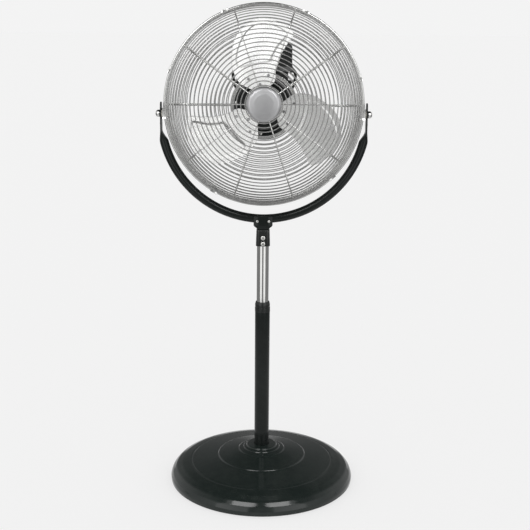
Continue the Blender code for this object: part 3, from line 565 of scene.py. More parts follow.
def block(name: str, low: Sequence[float], high: Sequence[float], bevel: float, segments: int = 3) -> Object:
    """A box between two corners with its edges rounded.

    Args:
        name: the object's name.
        low: its lowest corner.
        high: its highest corner.
        bevel: the width of the rounding.
        segments: how many faces the rounding has.

    Returns:
        The object.
    """

    def build(bm: bmesh.types.BMesh) -> None:
        """Draw the block.

        Args:
            bm: the mesh to fill.
        """
        size = [b - a for a, b in zip(low, high)]
        middle = [(a + b) / 2 for a, b in zip(low, high)]
        place = Matrix.Translation(middle) @ Matrix.Diagonal((*size, 1.0))
        bmesh.ops.create_cube(bm, size=1.0, matrix=place)
        if bevel:
            bmesh.ops.bevel(
                bm, geom=bm.edges[:], offset=bevel, segments=segments, profile=0.5, affect="EDGES"
            )

    return mesh_object(name, build)


def plate(name: str, outlines: Sequence[Sequence[Point]], low: float, high: float, bevel: float) -> Object:
    """A flat plate across Z, with its rims rounded.

    Args:
        name: the object's name.
        outlines: its outline, and then those of its holes.
        low: its lower side.
        high: its upper side.
        bevel: the width of the rounding.

    Returns:
        The object.
    """
    curve = bpy.data.curves.new(name, "CURVE")
    curve.dimensions = "2D"
    curve.fill_mode = "BOTH"
    curve.extrude = (high - low) / 2 - bevel
    curve.bevel_depth = bevel
    curve.bevel_resolution = 1
    curve.offset = -bevel
    for outline in outlines:
        spline = curve.splines.new("POLY")
        spline.points.add(len(outline) - 1)
        for place, (x, y) in zip(spline.points, outline):
            place.co = (x, y, 0.0, 1.0)
        spline.use_cyclic_u = True
    made = mended(settled(bpy.data.objects.new(name, curve)))
    return moved(made, Matrix.Translation((0, 0, (low + high) / 2)))


def arc(radius: float, start: float, end: float, steps: int, centre: Point = (0.0, 0.0)) -> list[Point]:
    """Points along an arc between two angles in degrees, both ends among them."""
    turns = [math.radians(start + (end - start) * step / steps) for step in range(steps + 1)]
    return [(centre[0] + radius * math.cos(t), centre[1] + radius * math.sin(t)) for t in turns]


def rounded_box_outline(low: Point, high: Point, radius: float) -> list[Point]:
    """The outline of a rectangle with round corners.

    Args:
        low: the lower left corner.
        high: the upper right corner.
        radius: the corners' radius.

    Returns:
        The points.
    """
    corners = ((high[0], high[1], 0), (low[0], high[1], 90), (low[0], low[1], 180), (high[0], low[1], 270))
    points: list[Point] = []
    for x, y, start in corners:
        inside = (x - math.copysign(radius, x - (low[0] + high[0]) / 2),
                  y - math.copysign(radius, y - (low[1] + high[1]) / 2))
        points += arc(radius, start, start + 90, 6, inside)
    return points


def through(knots: Sequence[Sequence[float]], count: int, closed: bool = False) -> list[tuple[float, ...]]:
    """Points along a smooth curve through knots.

    Args:
        knots: places of any number of coordinates.
        count: how many points for each stretch between two knots.
        closed: whether the curve ends where it starts.

    Returns:
        The points.
    """
    places = [np.array(knot, float) for knot in knots]
    if closed:
        places = [places[-1], *places, places[0], places[1]]
    else:
        places = [2 * places[0] - places[1], *places, 2 * places[-1] - places[-2]]
    points = []
    for a, b, c, d in zip(places, places[1:], places[2:], places[3:]):
        for step in range(count):
            t = step / count
            point = b + 0.5 * t * (c - a + t * (2 * a - 5 * b + 4 * c - d + t * (3 * (b - c) + d - a)))
            points.append(tuple(point))
    if not closed:
        points.append(tuple(places[-2]))
    return points


@dataclass(frozen=True)
class Section:
    """One section of a lofted bar: a rounded outline across the bar's path."""

    centre: Vector
    across: Vector
    beside: Vector
    half_across: float
    half_beside: float
    squareness: float = 2.0

    def points(self, sides: int) -> list[Vector]:
        """The section's outline.

        Args:
            sides: how many points it has.

        Returns:
            Its points.
        """
        made = []
        for number in range(sides):
            turn = 2 * math.pi * (number + 0.5) / sides
            share = [
                math.copysign(abs(part) ** (2 / self.squareness), part)
                for part in (math.cos(turn), math.sin(turn))
            ]
            sideways = self.across * share[0] * self.half_across + self.beside * share[1] * self.half_beside
            made.append(self.centre + sideways)
        return made


def lofted(name: str, sections: Sequence[Section], sides: int) -> Object:
    """A closed bar through sections.

    Args:
        name: the object's name.
        sections: the sections, in order.
        sides: how many points each has.

    Returns:
        The object.
    """

    def build(bm: bmesh.types.BMesh) -> None:
        """Draw the sections, with the faces between.

        Args:
            bm: the mesh to fill.
        """
        rows = [[bm.verts.new(point) for point in section.points(sides)] for section in sections]
        for row, following in zip(rows, rows[1:]):
            for here in range(sides):
                after = (here + 1) % sides
                bm.faces.new((row[here], row[after], following[after], following[here]))
        bm.faces.new(rows[0])
        bm.faces.new(rows[-1])
        bmesh.ops.recalc_face_normals(bm, faces=bm.faces)

    return mesh_object(name, build)


# ---------------------------------------------------------------------------------------------------------
# Finishes
# ---------------------------------------------------------------------------------------------------------


class Slot(Enum):
    """The material slots of the record."""

    BLACK_PAINT = "black_paint"
    BLACK_PLASTIC = "black_plastic"
    CHROME = "chrome"
    ALUMINIUM = "polished_aluminium"
    SILVER_PAINT = "silver_paint"
    ZINC = "zinc_steel"
    IRON = "cast_iron"
    RUBBER = "rubber"
    NYLON = "nylon"
    COPPER = "copper"


@dataclass(frozen=True)
class Finish:
    """A surface's colour and gloss, the cloudy change in both, and its fine relief."""

    name: str
    slot: Slot
    colour: Colour
    clouded: Colour
    roughness: float
    roughness_spread: float = 0.05
    metallic: float = 0.0
    specular: float = 0.5
    clouds: float = 60.0
    grain: float = 900.0
    relief: float = 0.00002
    stretch: tuple[float, float, float] = (1.0, 1.0, 1.0)

    def made(self) -> bpy.types.Material:
        """The finish's material, which is made the first time that it is asked for.

        Returns:
            The material.
        """
        found = bpy.data.materials.get(self.name)
        if found:
            return found
        material = bpy.data.materials.new(self.name)
        material.use_nodes = True
        material.diffuse_color = (*self.colour, 1.0)
        surface = Surface(material)
        shader = surface.shader
        for socket, value in (
            ("Metallic", self.metallic),
            ("Specular IOR Level", self.specular),
        ):
            shader.inputs[socket].default_value = value
        surface.feed(shader.inputs["Base Color"], self.tint(surface))
        surface.feed(shader.inputs["Roughness"], self.gloss(surface))
        surface.feed(shader.inputs["Normal"], self.texture(surface))
        return material

    def tint(self, surface: Surface) -> Socket:
        """The colour, cloudy between its two shades."""
        return surface.blend(surface.noise(self.clouds).ramp(0.35, 0.75), self.colour, self.clouded)

    def gloss(self, surface: Surface) -> Value:
        """The roughness, with smudges and fine wear.

        Args:
            surface: the material's tree.

        Returns:
            The roughness.
        """
        wear = surface.noise(self.grain / 3, at=surface.scaled(self.stretch))
        smudges = surface.noise(self.clouds / 2.5, 2.0)
        return self.roughness + (smudges + wear * 0.6 - 0.8) * self.roughness_spread * 2.0

    def texture(self, surface: Surface) -> Socket:
        """The fine relief."""
        return surface.relief(surface.noise(self.grain, 2.0, at=surface.scaled(self.stretch)), self.relief)


@dataclass(frozen=True)
class Powder(Finish):
    """A sprayed paint with orange peel, specks and a film of dust."""

    dust: Colour = (0.30, 0.30, 0.28)
    dust_share: float = 0.03

    def tint(self, surface: Surface) -> Socket:
        """The paint's colour under scattered dust.

        Args:
            surface: the material's tree.

        Returns:
            The colour.
        """
        specks = 1 - surface.cells(420.0).ramp(0.10, 0.22)
        film = surface.noise(9.0, 4.0).ramp(0.45, 0.85)
        mask = (specks * surface.noise(35.0).ramp(0.5, 0.6) + film * 0.5) * self.dust_share
        paint = super().tint(surface)
        node = surface.add("ShaderNodeMix", {"data_type": "RGBA"}, {"Factor_Float": mask, "A_Color": paint})
        surface.inlet(node, "B_Color").default_value = (*self.dust, 1.0)
        return surface.outlet(node, "Result_Color")

    def texture(self, surface: Surface) -> Socket:
        """Broad orange peel with finer lumps on it."""
        peel = surface.noise(self.grain, 1.0) + surface.noise(self.grain * 3.1, 1.0) * 0.3
        return surface.relief(peel, self.relief)


@dataclass(frozen=True)
class Spun(Finish):
    """A sheet metal with the fine rings that polishing on a wheel leaves."""

    lines: float = 2600.0
    facing: Matrix = field(default_factory=Matrix)

    def rings(self, surface: Surface) -> Value:
        """A noise that only changes with the distance from the axis.

        Args:
            surface: the material's tree.

        Returns:
            The noise.
        """
        inverse = self.facing.inverted()
        euler = inverse.to_euler()
        inputs = {"Vector": surface.place, "Location": tuple(inverse.translation), "Rotation": tuple(euler)}
        local = surface.add("ShaderNodeMapping", {}, inputs).outputs[0]
        parts = surface.add("ShaderNodeSeparateXYZ", {}, {"Vector": local})
        x, y = (Value(surface, parts.outputs[name]) for name in ("X", "Y"))
        away = (x * x + y * y) ** 0.5
        return surface.noise(1.0, 4.0, 0.6, at=surface.vector(away * self.lines, away * 31.0, 0.0))

    def gloss(self, surface: Surface) -> Value:
        """The roughness, with wheel marks and smudges."""
        smudges = surface.noise(self.clouds / 2.5, 2.0)
        return self.roughness + (smudges + self.rings(surface) - 1.0) * self.roughness_spread * 2.0

    def texture(self, surface: Surface) -> Socket:
        """The relief of the wheel marks."""
        return surface.relief(self.rings(surface), self.relief)


def grey(level: float) -> Colour:
    """A neutral colour."""
    return (level, level, level)


# The fan's own frame and the frame of the tilting head
TILT = math.radians(-6.5)
HEAD = Matrix.Translation((0.0, 0.0, 0.958)) @ Matrix.Rotation(TILT, 4, "X")


def fan_frame() -> Matrix:
    """The matrix of the fan's own frame, on the axis that the rotor spins about.

    Returns:
        The matrix.
    """
    spin = next(joint for joint in frame["joints"] if joint["name"] == "rotor_spin")
    along = Vector(spin["axis"]).normalized()
    if along.y > 0:
        along = -along
    side = Vector((1.0, 0.0, 0.0))
    up = along.cross(side)
    turn = Matrix((side, up, along)).transposed().to_4x4()
    return Matrix.Translation(spin["pos_m"]) @ turn


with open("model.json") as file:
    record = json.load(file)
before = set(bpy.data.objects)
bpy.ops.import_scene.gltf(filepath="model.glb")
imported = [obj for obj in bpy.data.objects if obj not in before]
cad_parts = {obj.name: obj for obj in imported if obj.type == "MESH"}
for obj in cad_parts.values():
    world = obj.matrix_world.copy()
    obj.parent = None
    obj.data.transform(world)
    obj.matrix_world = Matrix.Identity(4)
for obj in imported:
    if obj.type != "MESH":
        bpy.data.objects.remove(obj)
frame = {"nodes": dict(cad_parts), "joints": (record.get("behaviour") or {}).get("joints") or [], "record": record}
FAN = fan_frame()

GLOSS_BLACK = Powder(
    "gloss_black_powder_coat", Slot.BLACK_PAINT, (0.0050, 0.0064, 0.0059), (0.0066, 0.0084, 0.0078), 0.11,
    roughness_spread=0.03, specular=0.22, grain=230.0, relief=0.00003, dust_share=0.02,
)
BASE_BLACK = Powder(
    "base_black_enamel", Slot.BLACK_PAINT, (0.0080, 0.0115, 0.0105), (0.0105, 0.0145, 0.0130), 0.11,
    roughness_spread=0.04, specular=0.36, grain=150.0, relief=0.00005, dust_share=0.05,
)
MOULDED_BLACK = Finish(
    "moulded_black_plastic", Slot.BLACK_PLASTIC, (0.0050, 0.0050, 0.0052), (0.0070, 0.0070, 0.0072), 0.34,
    roughness_spread=0.08, specular=0.25, grain=2600.0, relief=0.00003,
)
SATIN_BLACK = Finish(
    "satin_black_plastic", Slot.BLACK_PLASTIC, (0.0060, 0.0070, 0.0068), (0.0080, 0.0092, 0.0088), 0.24,
    roughness_spread=0.05, specular=0.35, grain=1900.0, relief=0.00002,
)
CHROME = Finish(
    "polished_chrome", Slot.CHROME, (0.62, 0.62, 0.61), (0.58, 0.58, 0.57), 0.07,
    roughness_spread=0.03, metallic=1.0, clouds=30.0, grain=1400.0, relief=0.000004,
)
WIRE_CHROME = Finish(
    "wire_chrome", Slot.CHROME, (0.58, 0.58, 0.57), (0.50, 0.50, 0.49), 0.20,
    roughness_spread=0.05, metallic=1.0, clouds=40.0, grain=1400.0, relief=0.00001,
)
BLADE_METAL = Spun(
    "polished_blade_sheet", Slot.ALUMINIUM, (0.83, 0.83, 0.82), (0.78, 0.78, 0.775), 0.27,
    roughness_spread=0.06, metallic=0.9, clouds=26.0, relief=0.000012, facing=FAN,
)
SATIN_SILVER = Spun(
    "satin_silver_cap", Slot.SILVER_PAINT, (0.36, 0.36, 0.365), (0.33, 0.33, 0.335), 0.32,
    roughness_spread=0.05, metallic=0.85, clouds=40.0, relief=0.000008, facing=FAN, lines=1800.0,
)
ZINC = Finish(
    "zinc_plated_steel", Slot.ZINC, (0.60, 0.60, 0.58), (0.48, 0.48, 0.46), 0.26,
    roughness_spread=0.09, metallic=1.0, clouds=300.0, grain=2200.0, relief=0.00002,
)
RIVET_STEEL = Finish(
    "plain_rivet_steel", Slot.ZINC, (0.24, 0.24, 0.24), (0.17, 0.17, 0.17), 0.30,
    roughness_spread=0.08, metallic=1.0, clouds=300.0, grain=2000.0, relief=0.00002,
)
IRON = Finish(
    "cast_iron_ballast", Slot.IRON, (0.045, 0.043, 0.040), (0.070, 0.060, 0.050), 0.72,
    roughness_spread=0.08, metallic=0.6, clouds=80.0, grain=700.0, relief=0.0002,
)
RUBBER = Finish(
    "black_rubber", Slot.RUBBER, (0.020, 0.020, 0.020), (0.030, 0.030, 0.029), 0.68,
    roughness_spread=0.07, grain=1800.0, relief=0.00005, specular=0.3,
)
NYLON = Finish(
    "natural_nylon", Slot.NYLON, (0.62, 0.60, 0.54), (0.55, 0.53, 0.47), 0.42,
    roughness_spread=0.06, grain=1500.0, relief=0.00002,
)
COPPER = Finish(
    "enamelled_copper_wire", Slot.COPPER, (0.60, 0.24, 0.10), (0.46, 0.17, 0.07), 0.30,
    roughness_spread=0.06, metallic=1.0, clouds=200.0, grain=1600.0, relief=0.0001, stretch=(1.0, 0.1, 0.1),
)
LAMINATION = Finish(
    "core_laminations", Slot.ZINC, (0.26, 0.26, 0.27), (0.20, 0.20, 0.21), 0.38,
    roughness_spread=0.07, metallic=1.0, clouds=90.0, grain=1300.0, relief=0.00008, stretch=(0.1, 1.6, 0.1),
)

CARRIED_OVER = {
    Slot.BLACK_PAINT: GLOSS_BLACK,
    Slot.BLACK_PLASTIC: MOULDED_BLACK,
    Slot.CHROME: CHROME,
    Slot.ALUMINIUM: BLADE_METAL,
    Slot.SILVER_PAINT: SATIN_SILVER,
    Slot.ZINC: ZINC,
    Slot.IRON: IRON,
    Slot.RUBBER: RUBBER,
    Slot.NYLON: NYLON,
    Slot.COPPER: COPPER,
}
LAMINATED = ("stator", "rotor_core")


# ---------------------------------------------------------------------------------------------------------
# What every sub-assembly does
# ---------------------------------------------------------------------------------------------------------


def finished(
    piece: Object, finish: Finish, body: str, nodes: Iterable[str] = (), smooth: float = 32.0
) -> Object:
    """Give a piece its finish, its body and the nodes that it stands for.

    Args:
        piece: the piece, with its place in its mesh.
        finish: its finish.
        body: the body that it moves with.
        nodes: the solids that it stands for.
        smooth: the sharpest angle between two faces, in degrees, that is shaded smooth.

    Returns:
        The piece.
    """
    if piece.name not in bpy.context.scene.collection.all_objects:
        bpy.context.scene.collection.objects.link(piece)
    piece.data.materials.clear()
    piece.data.materials.append(finish.made())
    piece.data.polygons.foreach_set("material_index", [0] * len(piece.data.polygons))
    piece.data.shade_smooth()
    piece.data.set_sharp_from_angle(angle=math.radians(smooth))
    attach(piece, body)
    names = tuple(nodes)
    if names:
        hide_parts(*names)
    log.info("%-24s %6d faces, on %s", piece.name, len(piece.data.polygons), body)
    return piece


def placement(where: Sequence[float], facing: Sequence[float], frame_of: Matrix = Matrix()) -> Matrix:
    """The matrix that puts a piece at a place with its Z axis along a direction.

    Args:
        where: the place.
        facing: the direction.
        frame_of: the frame that both are in.

    Returns:
        The matrix.
    """
    turn = Vector(facing).to_track_quat("Z", "Y").to_matrix().to_4x4()
    return frame_of @ Matrix.Translation(where) @ turn


class Copier:
    """Copies a small piece to many places."""

    def __init__(self) -> None:
        """Build the tree: the carrier's points hold the turn of each copy."""
        tree = Grower("copy_to_points", {"Piece": "NodeSocketObject"})
        inputs = {"Object": tree.take("Piece"), "As Instance": False}
        source = tree.add("GeometryNodeObjectInfo", {"transform_space": "ORIGINAL"}, inputs)
        vector = {"data_type": "FLOAT_VECTOR"}
        facing = tree.add("GeometryNodeInputNamedAttribute", vector, {"Name": "facing"})
        turn = tree.add("FunctionNodeEulerToRotation", {}, {"Euler": facing})
        points = tree.take("Geometry").socket
        copies = tree.copies(points, source.outputs["Geometry"], Rotation=turn.outputs[0])
        self.tree = tree.close(copies)

    def copy(self, name: str, piece: Object, places: Sequence[Matrix], finish: Finish) -> Object:
        """Copy a piece to places.

        Args:
            name: the result's name.
            piece: what is copied, which is removed afterwards.
            places: the matrix of each copy.
            finish: the finish of the copies.

        Returns:
            One object with all the copies.
        """

        def build(bm: bmesh.types.BMesh) -> None:
            """Put a point at each place."""
            for place in places:
                bm.verts.new(place.translation)

        carrier = mesh_object(name, build)
        turns = carrier.data.attributes.new("facing", "FLOAT_VECTOR", "POINT")
        turns.data.foreach_set("vector", [part for place in places for part in place.to_euler()])
        if piece.name not in bpy.context.scene.collection.all_objects:
            bpy.context.scene.collection.objects.link(piece)
        made = self.tree.grow(name, {"Piece": piece, "Material": finish.made()}, carrier)
        bpy.data.objects.remove(piece, do_unlink=True)
        return made


class Drive(Enum):
    """What a screw head is turned with."""

    CROSS = "cross"
    HEX = "hex"
    NONE = "none"


def screw_head(radius: float, height: float, drive: Drive, seat: float = 0.0) -> Object:
    """A domed screw or rivet head on the plane z = seat.

    Args:
        radius: its radius.
        height: how high it stands.
        drive: its recess.
        seat: where its underside is.

    Returns:
        The head.
    """
    dome = [(radius * math.sin(t), height * (0.55 + 0.45 * math.cos(t))) for t in np.linspace(0.0, 1.45, 7)]
    profile = [*dome, (radius, height * 0.42), (radius, 0.0), (0.0, 0.0)]
    head = turned("screw_head", [(r, z + seat) for r, z in profile], 28)
    if drive is Drive.CROSS:
        arm, half = radius * 0.55, radius * 0.11
        for number in range(2):
            low = (-arm, -half, seat + height * 0.45) if number else (-half, -arm, seat + height * 0.45)
            high = tuple(-part for part in low[:2]) + (seat + height * 1.5,)
            head = combined(head, block("screw_recess", low, high, 0.0))
    if drive is Drive.HEX:
        outline = arc(radius * 0.5, 0, 300, 5)
        cutter = plate("screw_recess", [outline], seat + height * 0.4, seat + height * 1.6, 0.0)
        head = combined(head, cutter)
    return head


# ---------------------------------------------------------------------------------------------------------
# The stand
# ---------------------------------------------------------------------------------------------------------


@dataclass(frozen=True)
class Base:
    """The pressed base cover on its rubber feet."""

    sheet: float = 0.0016
    rounding: float = 0.0035
    foot_radius: float = 0.014
    foot_circle: float = 0.170
    feet: tuple[str, ...] = ("base_foot_1", "base_foot_2", "base_foot_3", "base_foot_4")
    profile: tuple[Point, ...] = (
        (0.0200, 0.0925), (0.0380, 0.0915), (0.0400, 0.0875), (0.0460, 0.0860), (0.0480, 0.0830),
        (0.0580, 0.0810), (0.0610, 0.0780), (0.1120, 0.0660), (0.1150, 0.0625), (0.1815, 0.0497),
        (0.1850, 0.0475), (0.1885, 0.0478), (0.2080, 0.0425), (0.2240, 0.0345), (0.2345, 0.0230),
        (0.2390, 0.0110), (0.2382, 0.0015),
    )

    def cover(self) -> Object:
        """The cover: one pressed sheet with steps and a rolled rim.

        Returns:
            The cover.
        """
        outer = rounded(self.profile, self.rounding, closed=False, steps=4)
        inner = []
        for before, here, after in zip(outer[:1] + outer, outer, outer[1:] + outer[-1:]):
            along = (Vector(after) - Vector(before)).normalized()
            inner.append((here[0] + along.y * self.sheet, here[1] - along.x * self.sheet))
        inner = [(max(r, self.profile[0][0]), z) for r, z in inner]
        return turned("base_shell", [*outer, *reversed(inner)], 240, closed=True)

    def foot(self) -> Object:
        """A foot: a ribbed rubber button.

        Returns:
            The foot.
        """
        low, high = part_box(self.feet[0])
        depth = high[2] - low[2]
        shape = (
            (0.0, depth), (self.foot_radius, depth), (self.foot_radius, depth * 0.25),
            (self.foot_radius * 0.93, 0.0), (self.foot_radius * 0.6, 0.0),
            (self.foot_radius * 0.55, depth * 0.12), (0.0, depth * 0.12),
        )
        return turned("foot", rounded(shape, 0.0008, closed=False), 40)

    def build(self, copier: Copier) -> None:
        """Build and dress the base.

        Args:
            copier: copies the small pieces.
        """
        finished(mended(self.cover()), BASE_BLACK, "base", ["base_cover"])
        turns = [math.radians(45 + 90 * number) for number in range(len(self.feet))]
        places = [
            Matrix.Translation((self.foot_circle * math.cos(t), self.foot_circle * math.sin(t), 0.0))
            for t in turns
        ]
        finished(copier.copy("rubber_feet", self.foot(), places, RUBBER), RUBBER, "base", self.feet)


@dataclass(frozen=True)
class Pole:
    """The telescopic pole: an outer tube, a clamping collar and an inner tube."""

    outer: float = 0.0190
    outer_wall: float = 0.0015
    inner: float = 0.0150
    inner_wall: float = 0.0012
    collar: float = 0.0194
    groove: float = 0.0182
    segments: int = 96

    def tube(self, name: str, radius: float, wall: float, low: float, high: float) -> Object:
        """A round tube with its ends broken."""
        section = rounded(ring(radius - wall, radius, low, high), wall / 3)
        return turned(name, section, self.segments, closed=True)

    def collar_ring(self) -> Object:
        """The collar, with a lip at its top and a groove below it.

        Returns:
            The collar.
        """
        low, high = (corner[2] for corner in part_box("pole_collar"))
        down = [(0.0172, 0.0), (self.outer, 0.0070), (self.outer, 0.0130), (self.groove, 0.0136),
                (self.groove, 0.0148), (self.collar, 0.0154)]
        outer = [(radius, high - drop) for radius, drop in down]
        bore = self.inner + 0.0006
        section = [*outer, (self.collar, low), (bore, low), (bore, high)]
        return turned("clamp_collar", rounded(section, 0.0009), self.segments, closed=True)

    def build(self) -> None:
        """Build and dress the pole."""
        for name, node, radius, wall, body, finish in (
            ("pole_tube", "pole_outer", self.outer, self.outer_wall, "base", GLOSS_BLACK),
            ("height_tube", "pole_inner", self.inner, self.inner_wall, "mast", CHROME),
        ):
            low, high = (corner[2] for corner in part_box(node))
            finished(mended(self.tube(name, radius, wall, low, high)), finish, body, [node])
        finished(mended(self.collar_ring()), SATIN_BLACK, "collar", ["pole_collar"])


@dataclass(frozen=True)
class Neck:
    """The knuckle at the top of the mast and the saddle that carries the yoke."""

    knuckle_foot: float = 0.0355
    knuckle_head: float = 0.0330
    shoulder: float = 0.0045
    channel_width: float = 0.0135
    channel_top: float = 0.661
    channel_seat: float = -0.01615
    knuckle_screws: tuple[float, ...] = (0.6355, 0.6505)
    saddle_depth: float = 0.0290
    saddle_screw: tuple[float, float] = (0.0145, 0.6925)
    tube_groove: float = 0.0113
    mouth: float = 0.697
    saddle_side: tuple[Point, ...] = (
        (0.0126, 0.6723), (0.02375, 0.6812), (0.02375, 0.7055),
    )

    def knuckle(self) -> Object:
        """The knuckle: a tapered block with round corners and a channel down its front.

        Returns:
            The knuckle.
        """
        low, high = (corner[2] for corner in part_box("knuckle"))
        half = self.knuckle_foot / 2

        def build(bm: bmesh.types.BMesh) -> None:
            """Draw the tapered block with its corners broken.

            Args:
                bm: the mesh to fill.
            """
            place = Matrix.Translation((0, 0, (low + high) / 2))
            size = Matrix.Diagonal((self.knuckle_foot, self.knuckle_foot, high - low, 1.0))
            bmesh.ops.create_cube(bm, size=1.0, matrix=place @ size)
            upright = [edge for edge in bm.edges if abs(edge.verts[0].co.z - edge.verts[1].co.z) > half]
            bmesh.ops.bevel(bm, geom=upright, offset=0.007, segments=6, profile=0.5, affect="EDGES")
            for height, offset in ((low, 0.0018), (high, self.shoulder)):
                rim = [
                    edge for edge in bm.edges
                    if all(abs(vert.co.z - height) < 1e-5 for vert in edge.verts)
                ]
                bmesh.ops.bevel(bm, geom=rim, offset=offset, segments=3, profile=0.5, affect="EDGES")
            for vert in bm.verts:
                share = (vert.co.z - low) / (high - low)
                vert.co.xy *= 1 + share * (self.knuckle_head / self.knuckle_foot - 1)

        wide = self.channel_width / 2
        cutter = block(
            "channel", (-wide, -0.03, low - 0.01), (wide, self.channel_seat, self.channel_top), 0.0012
        )
        return combined(mesh_object("tilt_knuckle", build), cutter)

    def saddle(self) -> Object:
        """The saddle: a block with a trough that follows the yoke's tube.

        Returns:
            The saddle.
        """
        right = list(self.saddle_side)
        outline = rounded(right + [(-x, z) for x, z in reversed(right)], 0.0028, steps=4)
        depth = self.saddle_depth / 2
        upright = Matrix.Rotation(math.pi / 2, 4, "X")
        shape = moved(plate("yoke_saddle", [outline], -depth, depth, 0.0012), upright)
        yoke = Yoke()
        sections = []
        for angle in np.linspace(-9, 9, 13):
            t = math.radians(angle)
            outward = Vector((math.sin(t), 0, -math.cos(t)))
            centre = Vector((0, 0, yoke.centre)) + outward * yoke.radius
            sections.append(
                Section(centre, outward, Vector((0, 1, 0)), self.tube_groove, self.tube_groove)
            )
        shape = combined(shape, lofted("trough", sections, 40))
        half = self.tube_groove
        return combined(shape, block("mouth", (-0.04, -half, self.mouth), (0.04, half, 0.73), 0.0))

    def build(self, copier: Copier) -> None:
        """Build and dress the knuckle, the saddle and their screws.

        Args:
            copier: copies the small pieces.
        """
        finished(self.knuckle(), SATIN_BLACK, "mast", ["knuckle"])
        finished(self.saddle(), GLOSS_BLACK, "yoke_frame", ["saddle"])
        front = (0.0, -1.0, 0.0)
        places = [placement((0.0, self.channel_seat, z), front) for z in self.knuckle_screws]
        screws = copier.copy("knuckle_screws", screw_head(0.0055, 0.0028, Drive.CROSS), places, ZINC)
        finished(screws, ZINC, "mast", ["knuckle_screw_lower", "knuckle_screw_upper"])
        x, z = self.saddle_screw
        places = [placement((side * x, -self.saddle_depth / 2, z), front) for side in (-1, 1)]
        screws = copier.copy("saddle_screws", screw_head(0.0031, 0.0022, Drive.CROSS), places, ZINC)
        finished(screws, ZINC, "yoke_frame", ["saddle_screw_left", "saddle_screw_right"])


@dataclass(frozen=True)
class Yoke:
    """The bent tube that holds the head, with its flattened ends."""

    centre: float = 0.949
    radius: float = 0.252
    tube: float = 0.011
    last_turn: float = 76.0
    strap_x: float = 0.25165
    strap_half_thickness: float = 0.00175
    strap_half_width: float = 0.0150
    strap_bottom: float = 0.918
    strap_top: float = 0.986
    rivet_height: float = 0.9335

    def arc_sections(self) -> list[Section]:
        """The round part, from the left end to the right end.

        Returns:
            The sections.
        """
        made = []
        for angle in np.linspace(-self.last_turn, self.last_turn, 97):
            t = math.radians(angle)
            outward = Vector((math.sin(t), 0.0, -math.cos(t)))
            middle = Vector((0.0, 0.0, self.centre)) + outward * self.radius
            made.append(Section(middle, outward, Vector((0.0, 1.0, 0.0)), self.tube, self.tube))
        return made

    def end_sections(self, side: int) -> list[Section]:
        """One end, from the round part up to the strap's top.

        Args:
            side: -1 for the left end, 1 for the right one.

        Returns:
            The sections, from the bottom up.
        """
        t = math.radians(self.last_turn)
        start = Vector((side * math.sin(t) * self.radius, 0.0, self.centre - math.cos(t) * self.radius))
        tangent = Vector((side * math.cos(t), 0.0, math.sin(t)))
        end = Vector((side * self.strap_x, 0.0, self.strap_bottom))
        lift = (end - start).length / 3
        handles = (start, start + tangent * lift, end - Vector((0.0, 0.0, lift)), end)
        made = []
        for share in np.linspace(0.0, 1.0, 15)[1:]:
            rest = 1 - share
            a, b, c, d = (rest**3, 3 * share * rest**2, 3 * share**2 * rest, share**3)
            place = handles[0] * a + handles[1] * b + handles[2] * c + handles[3] * d
            along = tangent.lerp(Vector((0.0, 0.0, 1.0)), share).normalized()
            outward = Vector((along.z, 0.0, -along.x)) * side
            blend = share * share * (3 - 2 * share)
            thick = self.tube + (self.strap_half_thickness - self.tube) * blend
            wide = self.tube + (self.strap_half_width - self.tube) * blend
            made.append(Section(place, outward, Vector((0.0, 1.0, 0.0)), thick, wide, 2.0 + 6.0 * blend**3))
        outward = Vector((float(side), 0.0, 0.0))
        top = self.strap_top - self.strap_half_width
        for height in (self.strap_bottom + 0.01, self.strap_bottom + 0.03, top):
            place = Vector((side * self.strap_x, 0.0, height))
            made.append(
                Section(place, outward, Vector((0.0, 1.0, 0.0)), self.strap_half_thickness,
                        self.strap_half_width, 8.0)
            )
        for turn in np.linspace(0.0, math.pi / 2, 12)[1:]:
            place = Vector((side * self.strap_x, 0.0, top + self.strap_half_width * math.sin(turn)))
            wide = max(self.strap_half_width * math.cos(turn), 0.0006)
            made.append(
                Section(place, outward, Vector((0.0, 1.0, 0.0)), self.strap_half_thickness, wide, 8.0)
            )
        return made

    def build(self, copier: Copier) -> None:
        """Build and dress the yoke and the rivets in its straps.

        Args:
            copier: copies the small pieces.
        """
        sections = [*reversed(self.end_sections(-1)), *self.arc_sections(), *self.end_sections(1)]
        yoke = lofted("yoke_tube", sections, 40)
        finished(yoke, GLOSS_BLACK, "yoke_frame", ["yoke"], smooth=50.0)
        places = [
            placement((side * (self.strap_x + self.strap_half_thickness), 0.0, self.rivet_height),
                      (side, 0.0, 0.0))
            for side in (-1, 1)
        ]
        head = screw_head(0.0042, 0.0016, Drive.NONE, seat=-0.0002)
        finished(copier.copy("strap_rivets", head, places, GLOSS_BLACK), GLOSS_BLACK, "yoke_frame")


# ---------------------------------------------------------------------------------------------------------
# The head
# ---------------------------------------------------------------------------------------------------------


class Side(Enum):
    """The side of the drum that a dish is on."""

    FRONT = 1
    REAR = -1


